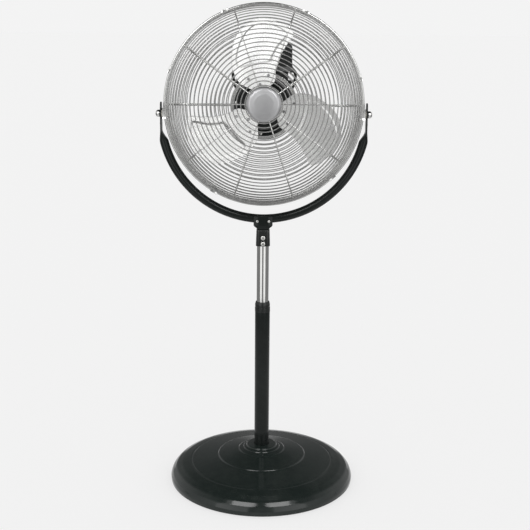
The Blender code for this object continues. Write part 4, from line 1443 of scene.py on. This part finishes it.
@dataclass(frozen=True)
class Guard:
    """The wire drum: two dishes that meet at the rim."""

    face: float = 0.182
    shoulder: float = 0.060
    depth: float = 0.075
    first_ring: float = 0.0450
    ring_pitch: float = 0.0101
    face_rings: int = 15
    shoulder_rings: int = 10
    shoulder_start: float = 4.0
    shoulder_pitch: float = 7.75
    wire: float = 0.00125
    spoke: float = 0.0015
    spokes: int = 10
    rim_radius: float = 0.243
    rim_wire: float = 0.0030
    rim_height: float = 0.0033

    def tree(self) -> Grower:
        """Build the tree of one dish: flat rings, shoulder rings, spokes and the rim wire.

        Returns:
            The tree.
        """
        number, length = "NodeSocketInt", "NodeSocketFloat"
        tree = Grower(
            "wire_dish",
            {
                "Side": length, "First ring": length, "Ring pitch": length, "Face rings": number,
                "Shoulder rings": number, "Shoulder start": length, "Shoulder pitch": length,
                "Face radius": length, "Shoulder": length, "Depth": length, "Wire radius": length,
                "Spoke radius": length, "Spokes": number, "Spoke start": length, "Rim radius": length,
                "Rim wire": length, "Rim height": length,
            },
        )
        names = ("Side", "Depth", "Face radius", "Shoulder")
        side, depth, face, shoulder = (tree.take(name) for name in names)
        circle = tree.add("GeometryNodeCurvePrimitiveCircle", {}, {"Resolution": 160, "Radius": 1.0})
        rim_circle = tree.add("GeometryNodeCurvePrimitiveCircle", {}, {"Resolution": 192, "Radius": 1.0})
        index = tree.index()
        flat = tree.take("First ring") + tree.take("Ring pitch") * index
        rings = tree.copies(
            tree.still_points(tree.take("Face rings"), depth * side), circle,
            Scale=tree.vector(flat, flat, 1.0),
        )
        turn = (tree.take("Shoulder start") + tree.take("Shoulder pitch") * (index + 1)) * (math.pi / 180)
        reach = face + shoulder * turn.sine()
        curved = tree.copies(
            tree.still_points(tree.take("Shoulder rings"), depth * side * turn.cosine()), circle,
            Scale=tree.vector(reach, reach, 1.0),
        )
        wires = tree.add("GeometryNodeJoinGeometry")
        tree.feed(wires.inputs[0], rings)
        tree.feed(wires.inputs[0], curved)
        rim = tree.take("Rim radius")
        edge = tree.copies(
            tree.still_points(1, tree.take("Rim height") * side),
            rim_circle,
            Scale=tree.vector(rim, rim, 1.0),
        )
        spokes = self.spokes_of(tree, side)
        return tree.close(
            tree.tube(wires, tree.take("Wire radius"), 6),
            tree.tube(spokes, tree.take("Spoke radius"), 8),
            tree.tube(edge, tree.take("Rim wire"), 12),
        )

    @staticmethod
    def spokes_of(tree: Grower, side: Value) -> Socket:
        """The spokes' curves, which lie just inside the rings.

        Args:
            tree: the dish's tree.
            side: 1 for the front dish and -1 for the rear one.

        Returns:
            The curves.
        """
        steps, flat_share = 24, 0.5
        line = tree.add("GeometryNodeMeshLine", {}, {"Count": steps, "Offset": (0.0, 0.0, 0.0)})
        share = tree.index() / (steps - 1)
        inset = tree.take("Spoke radius") + tree.take("Wire radius") * 0.6
        level = (share / flat_share).between(0.0, 1.0)
        turn = (share - flat_share).between(0.0, 1.0) * ((math.pi / 2 - 0.05) / (1 - flat_share))
        start = tree.take("Spoke start")
        out = start + (tree.take("Face radius") - start) * level
        out = out + (tree.take("Shoulder") - inset * 0.5) * turn.sine()
        up = (tree.take("Depth") - inset) * turn.cosine() * side
        bent = tree.add(
            "GeometryNodeSetPosition", {}, {"Geometry": line, "Position": tree.vector(out, 0.0, up)}
        )
        curve = tree.add("GeometryNodeMeshToCurve", {}, {"Mesh": bent})
        count = tree.take("Spokes")
        turns = tree.turn(tree.index() * (2 * math.pi) / count)
        return tree.copies(tree.still_points(count), curve, Rotation=turns)

    def dish(self, tree: Grower, side: Side, name: str, first: int, start: float) -> Object:
        """One dish.

        Args:
            tree: the dish's tree.
            side: which side it is on.
            name: its name.
            first: the number of its first flat ring.
            start: where its spokes start.

        Returns:
            The dish, in the fan's frame.
        """
        values = {
            "Side": float(side.value), "First ring": self.first_ring + first * self.ring_pitch,
            "Ring pitch": self.ring_pitch, "Face rings": self.face_rings - first,
            "Shoulder rings": self.shoulder_rings, "Shoulder start": self.shoulder_start,
            "Shoulder pitch": self.shoulder_pitch, "Face radius": self.face, "Shoulder": self.shoulder,
            "Depth": self.depth, "Wire radius": self.wire, "Spoke radius": self.spoke,
            "Spokes": self.spokes, "Spoke start": start, "Rim radius": self.rim_radius,
            "Rim wire": self.rim_wire, "Rim height": self.rim_height, "Material": WIRE_CHROME.made(),
        }
        return tree.grow(name, values)

    def build(self) -> None:
        """Build and dress both dishes, each with its middle plate."""
        tree = self.tree()
        thick = 0.0015
        for side, name, node, first, plate_of in (
            (Side.FRONT, "front_wire_guard", "front_guard", 0, (0.0200, 0.0430)),
            (Side.REAR, "rear_wire_guard", "rear_guard", 5, (0.0608, 0.0840)),
        ):
            wires = self.dish(tree, side, name, first, plate_of[1] - 0.006)
            level = side.value * (self.depth - 0.00195)
            section = rounded(ring(*plate_of, level - thick / 2, level + thick / 2), thick / 4)
            disc = turned("guard_plate", section, 96, closed=True)
            piece = joined(name + "_piece", [wires, mended(disc)])
            piece.name = name
            finished(moved(piece, FAN), WIRE_CHROME, "head", [node], smooth=60.0)


@dataclass(frozen=True)
class RimClips:
    """The bent clips that hold the two dishes together."""

    turns: tuple[float, ...] = (16.0, 66.0, 113.0, 160.0, 240.0, 314.0)
    inner: float = 0.2370
    outer: float = 0.2477
    half_depth: float = 0.0080
    half_width: float = 0.0090
    sheet: float = 0.0014

    def build(self, copier: Copier) -> None:
        """Build and dress the clips.

        Args:
            copier: copies the small pieces.
        """
        a, b, c, s = self.inner, self.outer, self.half_depth, self.sheet
        outline = ((a, c), (b, c), (b, -c), (a, -c), (a, s - c), (b - s, s - c), (b - s, c - s), (a, c - s))
        clip = plate("clip", [rounded(outline, 0.0012)], -self.half_width, self.half_width, 0.0003)
        # x stays radial, y becomes the drum's axis and z runs round the rim.
        clip = moved(clip, Matrix.Rotation(math.pi / 2, 4, "X"))
        places = [FAN @ Matrix.Rotation(math.radians(turn), 4, "Z") for turn in self.turns]
        nodes = [f"guard_clip_{number + 1}" for number in range(len(self.turns))]
        finished(copier.copy("rim_clips", clip, places, CHROME), CHROME, "head", nodes)


@dataclass(frozen=True)
class CentreCap:
    """The plain domed cap in the middle of the front guard."""

    radius: float = 0.0415
    boss: float = 0.0197

    def build(self) -> None:
        """Build and dress the cap."""
        r = self.radius
        shape = (
            (0.0, 0.0850), (0.30 * r, 0.08485), (0.55 * r, 0.0845), (0.80 * r, 0.08345),
            (0.86 * r, 0.0830), (0.875 * r, 0.0824), (0.90 * r, 0.0824), (0.915 * r, 0.08235),
            (r - 0.001, 0.0805), (r, 0.0795), (r, 0.0775), (self.boss, 0.0775), (self.boss, 0.0670),
            (0.0, 0.0670),
        )
        cap = turned("badge_cap", rounded(shape, 0.0006, closed=False), 96)
        finished(moved(mended(cap), FAN), SATIN_SILVER, "head", ["centre_cap"])


@dataclass(frozen=True)
class Pivots:
    """The brackets on the drum's rim that hang on the yoke, and their clamping knobs."""

    web: tuple[float, float] = (0.2463, 0.2483)
    flange_start: float = 0.2343
    half_width: float = 0.0105
    half_height: float = 0.0130
    stud: float = 0.0040
    stud_end: float = 0.2609
    knob_start: float = 0.2537
    knob_radius: float = 0.0088
    knob_length: float = 0.0115
    knob_profile: tuple[Point, ...] = (
        (0.0, 1.0), (0.42, 0.95), (0.76, 0.80), (0.95, 0.57), (1.0, 0.35), (1.0, 0.0),
    )

    def bracket(self, side: int, name: str) -> Object:
        """A bracket: a bent channel with a stud through it.

        Args:
            side: -1 for the left, 1 for the right.
            name: its name.

        Returns:
            The bracket.
        """
        sheet = self.web[1] - self.web[0]
        a, b, w = self.flange_start, self.web[1], self.half_width
        outline = [(a, w), (b, w), (b, -w), (a, -w), (a, sheet - w), (b - sheet, sheet - w),
                   (b - sheet, w - sheet), (a, w - sheet)]
        shape = plate("channel", [rounded(outline, 0.0016)], -self.half_height, self.half_height, 0.0004)
        stud = turned("stud", rounded(
            [(0.0, self.stud_end), (self.stud, self.stud_end), (self.stud, self.web[0]), (0.0, self.web[0])],
            0.0004, closed=False), 28)
        stud = moved(mended(stud), Matrix.Rotation(math.pi / 2, 4, "Y"))
        whole = joined(name, [shape, stud])
        return moved(whole, HEAD @ Matrix.Rotation(0.0 if side > 0 else math.pi, 4, "Z"))

    def knob(self, side: int, name: str) -> Object:
        """A clamping knob: a domed nut.

        Args:
            side: -1 for the left, 1 for the right.
            name: its name.

        Returns:
            The knob.
        """
        dome = [(r * self.knob_radius, z * self.knob_length) for r, z in self.knob_profile[:-1]]
        points = through(dome, 4)
        shape = [*points, (self.knob_radius, 0.0006), (self.knob_radius - 0.0006, 0.0), (0.0, 0.0)]
        knob = mended(turned(name, shape, 56))
        place = placement((side * self.knob_start, 0.0, 0.0), (side, 0.0, 0.0), HEAD)
        return moved(knob, place)

    def build(self) -> None:
        """Build and dress both sides."""
        for side, label in ((-1, "left"), (1, "right")):
            bracket = self.bracket(side, f"rim_bracket_{label}")
            finished(bracket, CHROME, "head", [f"pivot_bracket_{label}"])
            knob = self.knob(side, f"clamp_knob_{label}")
            finished(knob, CHROME, f"{label}_knob", [f"tilt_knob_{label}"], smooth=50.0)


@dataclass(frozen=True)
class Motor:
    """The motor's two housings, its screws and its bracket, which also carries the box above it."""

    front_profile: tuple[Point, ...] = (
        (0.0070, -0.0280), (0.0200, -0.0280), (0.0500, -0.0340), (0.0570, -0.0390), (0.0600, -0.0460),
        (0.0640, -0.0665), (0.0755, -0.0690), (0.0755, -0.0720), (0.0560, -0.0720), (0.0560, -0.0480),
        (0.0070, -0.0340),
    )
    rear_profile: tuple[Point, ...] = (
        (0.0755, -0.0741), (0.0755, -0.0763), (0.0695, -0.0766), (0.0695, -0.1150), (0.0635, -0.1250),
        (0.0515, -0.1300), (0.0, -0.1300), (0.0, -0.1280), (0.0505, -0.1280), (0.0620, -0.1232),
        (0.0677, -0.1145), (0.0677, -0.0741),
    )
    screw_circle: float = 0.070
    screw_turns: tuple[float, ...] = (83.7, 173.7, 263.7, 353.7)
    screw_level: float = -0.0687
    plate_level: tuple[float, float] = (-0.0799, -0.0781)
    plate_radius: float = 0.085
    plate_bore: float = 0.0701
    plate_side: tuple[Point, ...] = (
        (0.0820, 0.0600), (0.0820, 0.0850), (0.0700, 0.0990), (0.0700, 0.1480), (0.0610, 0.1575),
    )
    window: tuple[Point, Point] = ((0.060, 0.064), (0.074, 0.083))
    window_corner: float = 0.004

    def housings(self) -> None:
        """Build and dress the two housings, the rear one with its cooling ribs."""
        front = turned("motor_nose", rounded(self.front_profile, 0.0025, steps=4), 128, closed=True)
        finished(moved(mended(front), FAN), GLOSS_BLACK, "head", ["motor_front_housing"])
        rear = mended(turned("motor_can_shell", rounded(self.rear_profile, 0.0022, closed=False), 128))
        tree = Grower("ribs_round", {"Count": "NodeSocketInt", "Piece": "NodeSocketObject"})
        inputs = {"Object": tree.take("Piece"), "As Instance": False}
        source = tree.add("GeometryNodeObjectInfo", {"transform_space": "ORIGINAL"}, inputs)
        count = tree.take("Count")
        turns = tree.turn(tree.index() * (2 * math.pi) / count)
        tree.close(tree.copies(tree.still_points(count), source.outputs["Geometry"], Rotation=turns))
        rib = block("rib", (0.0688, -0.0011, -0.1120), (0.0706, 0.0011, -0.0850), 0.0006, 2)
        bpy.context.scene.collection.objects.link(rib)
        ribs = tree.grow("cooling_ribs", {"Count": 36, "Piece": rib, "Material": GLOSS_BLACK.made()})
        bpy.data.objects.remove(rib, do_unlink=True)
        can = joined("motor_can", [rear, ribs])
        finished(moved(can, FAN), GLOSS_BLACK, "head", ["motor_rear_housing"])

    def screws(self, copier: Copier) -> None:
        """Build and dress the housing's screws.

        Args:
            copier: copies the small pieces.
        """
        places = []
        for turn in self.screw_turns:
            t = math.radians(turn)
            where = (self.screw_circle * math.cos(t), self.screw_circle * math.sin(t), self.screw_level)
            places.append(placement(where, (0.0, 0.0, 1.0), FAN) @ Matrix.Rotation(t, 4, "Z"))
        head = screw_head(0.0038, 0.0028, Drive.CROSS)
        nodes = [f"motor_screw_{number + 1}" for number in range(len(places))]
        finished(copier.copy("housing_screws", head, places, ZINC), ZINC, "head", nodes)

    def bracket(self) -> None:
        """Build and dress the plate that carries the motor and the box."""
        right = list(self.plate_side)
        edge = [*arc(self.plate_radius, 150, 390, 60), *rounded(
            [right[0], *right, *((-x, y) for x, y in reversed(right)), (-right[0][0], right[0][1])][1:-1],
            0.004, closed=False, steps=3)]
        low, high = self.window
        windows = [
            rounded_box_outline((min(side * low[0], side * high[0]), low[1]),
                                (max(side * low[0], side * high[0]), high[1]), self.window_corner)
            for side in (-1, 1)
        ]
        bore = arc(self.plate_bore, 0, 354, 59)
        shape = plate("motor_plate", [edge, bore, *windows], *self.plate_level, 0.0003)
        finished(moved(shape, FAN), GLOSS_BLACK, "head", ["motor_bracket"])

    def build(self, copier: Copier) -> None:
        """Build and dress the motor.

        Args:
            copier: copies the small pieces.
        """
        self.housings()
        self.screws(copier)
        self.bracket()


@dataclass(frozen=True)
class ControlBox:
    """The switch box behind the motor's plate, with its lid, dial, knob and cable gland."""

    low: tuple[float, float, float] = (-0.0660, 0.1000, -0.1202)
    high: tuple[float, float, float] = (0.0660, 0.1550, -0.0802)
    lid: float = 0.0034
    gap: float = 0.0006
    bevel: float = 0.0040
    dial: tuple[float, float] = (0.0, 0.1275)
    knob_radius: float = 0.0170
    grip_radius: float = 0.0120
    speeds: int = 4
    gland_at: tuple[float, float] = (-0.0450, -0.1002)
    gland_radius: float = 0.0085

    def box(self, copier: Copier) -> None:
        """Build and dress the box, its lid and the lid's screws and dial marks.

        Args:
            copier: copies the small pieces.
        """
        seam = self.low[2] + self.lid
        body = block("box_body", (self.low[0], self.low[1], seam + self.gap), self.high, self.bevel * 0.9)
        inner = 0.0008
        low = (self.low[0] + inner, self.low[1] + inner, seam - 0.001)
        high = (self.high[0] - inner, self.high[1] - inner, seam + self.gap + 0.004)
        neck = block("box_neck", low, high, 0.0)
        cover = block("box_lid", self.low, (self.high[0], self.high[1], seam), 0.0012)
        whole = joined("switch_box", [body, neck, cover])
        finished(moved(whole, FAN), MOULDED_BLACK, "head", ["control_box"])
        inset = 0.0065
        places = [
            placement((x, y, self.low[2]), (0.0, 0.0, -1.0), FAN)
            for x in (self.low[0] + inset, self.high[0] - inset)
            for y in (self.low[1] + inset, self.high[1] - inset)
        ]
        head = screw_head(0.0027, 0.0013, Drive.CROSS)
        finished(copier.copy("lid_screws", head, places, ZINC), ZINC, "head")
        places = []
        for number in range(self.speeds):
            t = math.radians(90 + 45 * number)
            away = self.knob_radius + 0.0045
            where = (self.dial[0] + away * math.cos(t), self.dial[1] + away * math.sin(t), self.low[2])
            places.append(placement(where, (0.0, 0.0, -1.0), FAN))
        dot = screw_head(0.0012, 0.0004, Drive.NONE)
        finished(copier.copy("dial_dots", dot, places, SATIN_SILVER), SATIN_SILVER, "head")

    def knob(self) -> None:
        """Build and dress the speed knob: a skirt with a fluted grip and a raised pointer."""
        r, g = self.knob_radius, self.grip_radius
        skirt = turned("skirt", rounded([(0.0, 0.0055), (g, 0.0055), (r - 0.001, 0.0045), (r, 0.0030),
                                         (r, 0.0010), (0.0, 0.0010)], 0.0008, closed=False), 72)
        points = []
        for number in range(144):
            t = 2 * math.pi * number / 144
            flute = 0.0006 * (0.5 + 0.5 * math.cos(12 * t)) ** 3
            points.append(((g - flute) * math.cos(t), (g - flute) * math.sin(t)))
        grip = plate("grip", [points], 0.0050, 0.0165, 0.0008)
        pointer = block("pointer", (-0.0009, 0.0020, 0.0150), (0.0009, g - 0.0014, 0.0170), 0.0003)
        whole = joined("speed_dial_knob", [mended(skirt), grip, pointer])
        place = placement((*self.dial, self.low[2]), (0.0, 0.0, -1.0), FAN)
        finished(moved(whole, place), MOULDED_BLACK, "speed_dial", ["speed_knob"])

    def gland(self) -> None:
        """Build and dress the cable gland under the box."""
        r, top = self.gland_radius, self.low[1]
        length = 0.0130
        shape = [(0.0, 0.0), (r, 0.0), (r, -0.0030), (r * 0.86, -0.0034), (r * 0.80, -0.0090),
                 (r * 0.62, -length + 0.001), (r * 0.50, -length), (r * 0.30, -length), (r * 0.30, -0.0100),
                 (0.0, -0.0100)]
        gland = mended(turned("cord_gland", rounded(shape, 0.0006, closed=False), 48))
        place = FAN @ Matrix.Translation((self.gland_at[0], top - 0.0003, self.gland_at[1]))
        place = place @ Matrix.Rotation(-math.pi / 2, 4, "X")
        finished(moved(gland, place), MOULDED_BLACK, "head", ["cable_gland"])

    def build(self, copier: Copier) -> None:
        """Build and dress the box and everything on it.

        Args:
            copier: copies the small pieces.
        """
        self.box(copier)
        self.knob()
        self.gland()


# ---------------------------------------------------------------------------------------------------------
# The rotor
# ---------------------------------------------------------------------------------------------------------


@dataclass(frozen=True)
class BladeShape:
    """The pitch and the outline that the blades and the spider share."""

    root: float = 0.036
    tip: float = 0.209
    root_pitch: float = 27.0
    tip_pitch: float = 19.0

    def height(self, radius: float, angle: float) -> float:
        """The height of a blade's middle surface.

        Args:
            radius: how far from the axis.
            angle: the angle from the blade's own middle line, in radians.

        Returns:
            The height above the drum's middle plane.
        """
        share = (radius - self.root) / (self.tip - self.root)
        pitch = math.radians(self.root_pitch + (self.tip_pitch - self.root_pitch) * share)
        across = radius * math.sin(angle + math.radians(8.0) * share)
        return 0.004 + across * math.tan(pitch) - 0.007 * share * math.cos(2 * angle)


@dataclass(frozen=True)
class Rotor:
    """The three blades on their spider and hub."""

    shape: BladeShape = BladeShape()
    roots: tuple[float, ...] = (102.0, 223.0, 343.0)
    sheet: float = 0.0012
    stations: tuple[tuple[float, float, float], ...] = (
        (0.036, 20, -22), (0.049, 28, -30), (0.061, 33.5, -35.5), (0.073, 36.5, -34.5), (0.085, 36, -31),
        (0.105, 32, -30), (0.125, 27, -30), (0.145, 20.5, -31.5), (0.165, 15, -33), (0.180, 9.5, -34.5),
        (0.190, 5, -33.5), (0.200, -1.5, -26), (0.209, -8, -14),
    )
    panel: tuple[Point, ...] = (
        (0.102, 0), (0.107, -18), (0.122, -21), (0.146, -24.3), (0.171, -28.7), (0.184, -29), (0.193, -20),
        (0.195, -10), (0.190, -3), (0.171, 5.5), (0.146, 14), (0.122, 21.5), (0.107, 21),
    )
    panel_rise: float = 0.0016
    panel_slope: float = 0.0035
    arm_stations: tuple[tuple[float, float, float], ...] = (
        (0.018, 24, -24), (0.040, 20, -20), (0.070, 27, -26), (0.082, 20, -20),
    )
    arm_sheet: float = 0.0025
    rivets: tuple[tuple[float, float], ...] = ((0.073, 20.0), (0.073, -20.0), (0.051, 0.0))
    rivet_radius: float = 0.0035

    def panel_height(self, x: float, y: float, outline: np.ndarray) -> float:
        """How far the pressed panel raises the sheet at a point.

        Args:
            x: the place along the blade's root line.
            y: the place across it.
            outline: the panel's outline in the same plane.

        Returns:
            The rise.
        """
        here = np.array((x, y))
        start, end = outline, np.roll(outline, -1, axis=0)
        run = end - start
        share = np.clip(((here - start) * run).sum(1) / (run * run).sum(1), 0, 1)
        away = np.hypot(*(start + run * share[:, None] - here).T).min()
        crossing = (start[:, 1] > y) != (end[:, 1] > y)
        with np.errstate(divide="ignore", invalid="ignore"):
            cut = start[:, 0] + (y - start[:, 1]) * run[:, 0] / run[:, 1]
        inside = bool((crossing & (x < cut)).sum() % 2)
        depth = (away if inside else -away) / self.panel_slope + 0.5
        share = min(max(depth, 0.0), 1.0)
        return self.panel_rise * share * share * (3 - 2 * share)

    def vane(
        self, name: str, stations: Sequence[Sequence[float]], drop: float, thick: float, fine: int,
        across: int, pressed: bool,
    ) -> Object:
        """A blade or an arm of the spider, with its root line along X.

        Args:
            name: its name.
            stations: radius, trailing edge and leading edge, in metres and degrees.
            drop: how far it lies below the blade's surface.
            thick: the sheet's thickness.
            fine: how many rows of faces between two stations.
            across: how many faces across.
            pressed: whether it has the pressed panel.

        Returns:
            The piece.
        """
        edges = through(stations, fine)
        corners = [(r, math.radians(a)) for r, a in through(self.panel, 5, closed=True)]
        outline = np.array([(r * math.cos(a), r * math.sin(a)) for r, a in corners])

        def build(bm: bmesh.types.BMesh) -> None:
            """Draw the blade's grid.

            Args:
                bm: the mesh to fill.
            """
            rows = []
            for radius, trailing, leading in edges:
                row = []
                for number in range(across + 1):
                    angle = math.radians(leading + (trailing - leading) * number / across)
                    x, y = radius * math.cos(angle), radius * math.sin(angle)
                    height = self.shape.height(radius, angle) - drop
                    if pressed:
                        height += self.panel_height(x, y, outline)
                    row.append(bm.verts.new((x, y, height)))
                rows.append(row)
            for row, after in zip(rows, rows[1:]):
                for number in range(across):
                    bm.faces.new((row[number], after[number], after[number + 1], row[number + 1]))

        sheet = mesh_object(name, build)
        wall = sheet.modifiers.new("Sheet", "SOLIDIFY")
        wall.thickness = thick
        wall.offset = 0.0
        edge = sheet.modifiers.new("Edge", "BEVEL")
        edge.width = thick * 0.3
        edge.segments = 2
        edge.limit_method = "ANGLE"
        edge.angle_limit = math.radians(50)
        return settled(sheet)

    def rivet_places(self, root: float) -> list[Matrix]:
        """Where a blade's rivets sit, square to its surface.

        Args:
            root: the blade's direction in degrees.

        Returns:
            A matrix for each rivet.
        """
        places = []
        for radius, degrees in self.rivets:
            angle = math.radians(degrees)
            step = 0.001

            def surface(r: float, a: float) -> Vector:
                """The point of the blade at a radius and an angle."""
                return Vector((r * math.cos(a), r * math.sin(a), self.shape.height(r, a)))

            here = surface(radius, angle)
            outwards = surface(radius + step, angle) - here
            around = surface(radius, angle + step / radius) - here
            normal = outwards.cross(around).normalized()
            where = here + normal * self.sheet / 2
            places.append(placement(where, normal, FAN @ Matrix.Rotation(math.radians(root), 4, "Z")))
        return places

    def build(self, copier: Copier) -> list[Object]:
        """Build and dress the blades, the spider, the rivets and the hub, and give the blades.

        Args:
            copier: copies the small pieces.

        Returns:
            The blades.
        """
        arms, blades = [], []
        places: list[Matrix] = []
        for number, root in enumerate(self.roots):
            place = FAN @ Matrix.Rotation(math.radians(root), 4, "Z")
            blade = self.vane(f"fan_blade_{number + 1}", self.stations, 0.0, self.sheet, 8, 64, True)
            nodes = [f"blade_{number + 1}"]
            blades.append(finished(moved(blade, place), BLADE_METAL, "rotor", nodes, smooth=40.0))
            drop = 1.25 * self.sheet + 0.0003
            arm = self.vane("arm", self.arm_stations, drop, self.arm_sheet, 6, 16, False)
            arms.append(moved(arm, place))
            places += self.rivet_places(root)
        hub_profile = [(0.0, 0.0200), (0.0220, 0.0200), (0.0220, -0.0240), (0.0, -0.0240)]
        hub = mended(turned("hub", rounded(hub_profile, 0.0022, closed=False, steps=4), 64))
        spider = joined("blade_spider", [*arms, moved(hub, FAN)])
        finished(spider, ZINC, "rotor", ["fan_hub"])
        rivet = screw_head(self.rivet_radius, 0.0016, Drive.NONE)
        finished(copier.copy("blade_rivets", rivet, places, RIVET_STEEL), RIVET_STEEL, "rotor")
        low, high = 0.0243, 0.0318
        head = screw_head(0.0085, high - low, Drive.HEX)
        nut = copier.copy("hub_bolt", head, [placement((0.0, 0.0, low), (0.0, 0.0, 1.0), FAN)], ZINC)
        finished(nut, ZINC, "rotor", ["hub_screw"])
        return blades


# ---------------------------------------------------------------------------------------------------------
# The studio
# ---------------------------------------------------------------------------------------------------------


@dataclass(frozen=True)
class Studio:
    """The floor, the lights and the camera."""

    floor_size: float = 90.0
    backdrop: float = 0.90
    fill: float = 0.70
    room_back: float = 0.20
    room_sides: float = 0.60
    room_front: float = 0.24
    ceiling_dark: float = 0.75
    floor_light: float = 0.63
    reflected_pool_glow: float = 0.75
    reflected_pool_fade: float = 0.55
    softbox_aim: float = 0.75
    softbox_size: Point = (1.1, 0.7)
    softbox_at: tuple[float, float, float] = (0.80, -1.60, 2.15)
    softbox_power: float = 15.0
    screen_size: Point = (1.1, 2.5)
    screen_at: tuple[float, float, float] = (0.88, -1.35, 1.26)
    screen_power: float = 9.5
    lens: float = 70.6
    eye: tuple[float, float, float] = (0.0056, -2.558, 1.215)
    pitch: float = 14.0
    roll: float = 0.45

    def floor(self) -> Object:
        """Lay a pale floor that glows, evenly to the camera and as a painted pool of light in reflections, and
        give it.

        Returns:
            The floor.
        """
        half = self.floor_size / 2

        def build(bm: bmesh.types.BMesh) -> None:
            """Draw the floor as one face."""
            corners = ((-half, -half), (half, -half), (half, half), (-half, half))
            bm.faces.new([bm.verts.new((x, y, 0.0)) for x, y in corners])

        floor = mesh_object("studio_floor", build)
        bpy.context.scene.collection.objects.link(floor)
        material = bpy.data.materials.new("studio_paper")
        material.use_nodes = True
        surface = Surface(material)
        glossy = Value(surface, surface.add("ShaderNodeLightPath").outputs["Is Glossy Ray"])
        parts = surface.add("ShaderNodeSeparateXYZ", {}, {"Vector": surface.place})
        x, y = (Value(surface, parts.outputs[name]) for name in ("X", "Y"))
        # Painted light: in reflections the floor is darker (base 0.08) and glows as a painted pool of light,
        # bright near the fan and fading from 0.7 m to 1.7 m away.
        far = ((x * x + y * y) ** 0.5).ramp(0.7, 1.7)
        shader = surface.shader
        surface.feed(shader.inputs["Base Color"], surface.blend(glossy, grey(0.36), grey(0.08)))
        level = self.floor_light + glossy * (self.reflected_pool_glow - far * self.reflected_pool_fade - self.floor_light)
        colour = surface.add("ShaderNodeCombineColor", {}, {"Red": level, "Green": level, "Blue": level})
        surface.feed(shader.inputs["Emission Color"], colour)
        shader.inputs["Emission Strength"].default_value = 1.0
        shader.inputs["Roughness"].default_value = 0.9
        floor.data.materials.append(material)
        return floor

    def sky(self) -> None:
        """Light the world: pale to the camera, softer on the floor, and a grey room in reflections."""
        world = bpy.data.worlds.new("studio_room")
        world.use_nodes = True
        tree = Tree(world.node_tree)
        background = world.node_tree.nodes["Background"]
        path = tree.add("ShaderNodeLightPath")
        camera, glossy = (Value(tree, path.outputs[name]) for name in ("Is Camera Ray", "Is Glossy Ray"))
        towards = tree.add("ShaderNodeTexCoord").outputs["Generated"]
        parts = tree.add("ShaderNodeSeparateXYZ", {}, {"Vector": towards})
        x, y, z = (Value(tree, parts.outputs[name]) for name in ("X", "Y", "Z"))
        sides = ((x * x) ** 0.5).ramp(0.30, 0.85)
        front = (0 - y).ramp(0.0, 0.8)
        room = self.room_back + sides * self.room_sides + front * self.room_front
        room = room * (1 - z.ramp(0.40, 0.85) * self.ceiling_dark)
        level = self.fill + camera * (self.backdrop - self.fill) + glossy * (room - self.fill)
        tree.feed(background.inputs["Strength"], level)
        background.inputs["Color"].default_value = (1.0, 1.0, 1.0, 1.0)
        bpy.context.scene.world = world

    @staticmethod
    def spared(name: str, pieces: Sequence[Object]) -> bpy.types.Collection:
        """Name the pieces that a light doesn't reach.

        Args:
            name: the collection's name.
            pieces: the pieces.

        Returns:
            The collection, with each piece excluded.
        """
        spared = bpy.data.collections.new(name)
        for number, piece in enumerate(pieces):
            spared.objects.link(piece)
            spared.collection_objects[number].light_linking.link_state = "EXCLUDE"
        return spared

    def panel(
        self, name: str, where: Sequence[float], aim_height: float, size: Point, power: float,
        spared: bpy.types.Collection,
    ) -> None:
        """Put up a rectangular light that faces the fan.

        Args:
            name: its name.
            where: its middle.
            aim_height: the height on the fan's pole that it faces.
            size: its width and height.
            power: its power in watts.
            spared: pieces that it doesn't reach.
        """
        light = bpy.data.lights.new(name, "AREA")
        light.shape = "RECTANGLE"
        light.size, light.size_y = size
        light.energy = power
        lamp = bpy.data.objects.new(name, light)
        lamp.visible_camera = False
        lamp.light_linking.receiver_collection = spared
        aim = Vector((0.0, 0.0, aim_height)) - Vector(where)
        lamp.matrix_world = Matrix.Translation(where) @ aim.to_track_quat("-Z", "Y").to_matrix().to_4x4()
        bpy.context.scene.collection.objects.link(lamp)

    def camera(self) -> None:
        """Set up the camera."""
        data = bpy.data.cameras.new("camera")
        data.lens = self.lens
        camera = bpy.data.objects.new("camera", data)
        turn = Matrix.Rotation(math.radians(90 - self.pitch), 4, "X")
        roll = Matrix.Rotation(math.radians(self.roll), 4, "Z")
        camera.matrix_world = Matrix.Translation(self.eye) @ turn @ roll
        bpy.context.scene.collection.objects.link(camera)
        bpy.context.scene.camera = camera

    def build(self, glaring: Sequence[Object]) -> None:
        """Set up the whole studio.

        Args:
            glaring: pieces that the softboxes would burn out, which they don't reach.
        """
        floor = self.floor()
        self.sky()
        kept_even = self.spared("spared_by_screens", [floor])
        kept_calm = self.spared("spared_by_softboxes", [floor, *glaring])
        for side, label in ((-1, "left"), (1, "right")):
            x, y, z = self.softbox_at
            self.panel(
                f"softbox_{label}", (side * x, y, z), self.softbox_aim, self.softbox_size,
                self.softbox_power, kept_calm,
            )
            x, y, z = self.screen_at
            self.panel(
                f"screen_{label}", (side * x, y, z), z, self.screen_size, self.screen_power, kept_even,
            )
        self.camera()
        bpy.context.scene.view_settings.view_transform = "Standard"


def dress_carried_over() -> None:
    """Give every solid that stays showing the finish of its slot."""
    slots = {row["node"]: Slot(row["material_slot"]) for row in frame["record"]["subparts"]}
    for name, node in frame["nodes"].items():
        if node.hide_render:
            continue
        finish = LAMINATION if name in LAMINATED else CARRIED_OVER[slots[name]]
        node.data.materials.clear()
        node.data.materials.append(finish.made())
        log.info("%-24s carried over, %s", name, finish.name)


def main() -> None:
    """Build the fan and its studio."""
    logging.basicConfig(level=logging.INFO, format="%(message)s")
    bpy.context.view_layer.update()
    copier = Copier()
    Base().build(copier)
    Pole().build()
    Neck().build(copier)
    Yoke().build(copier)
    Guard().build()
    RimClips().build(copier)
    CentreCap().build()
    Pivots().build()
    Motor().build(copier)
    ControlBox().build(copier)
    blades = Rotor().build(copier)
    dress_carried_over()
    Studio().build(blades)


if __name__ == "__main__":
    main()
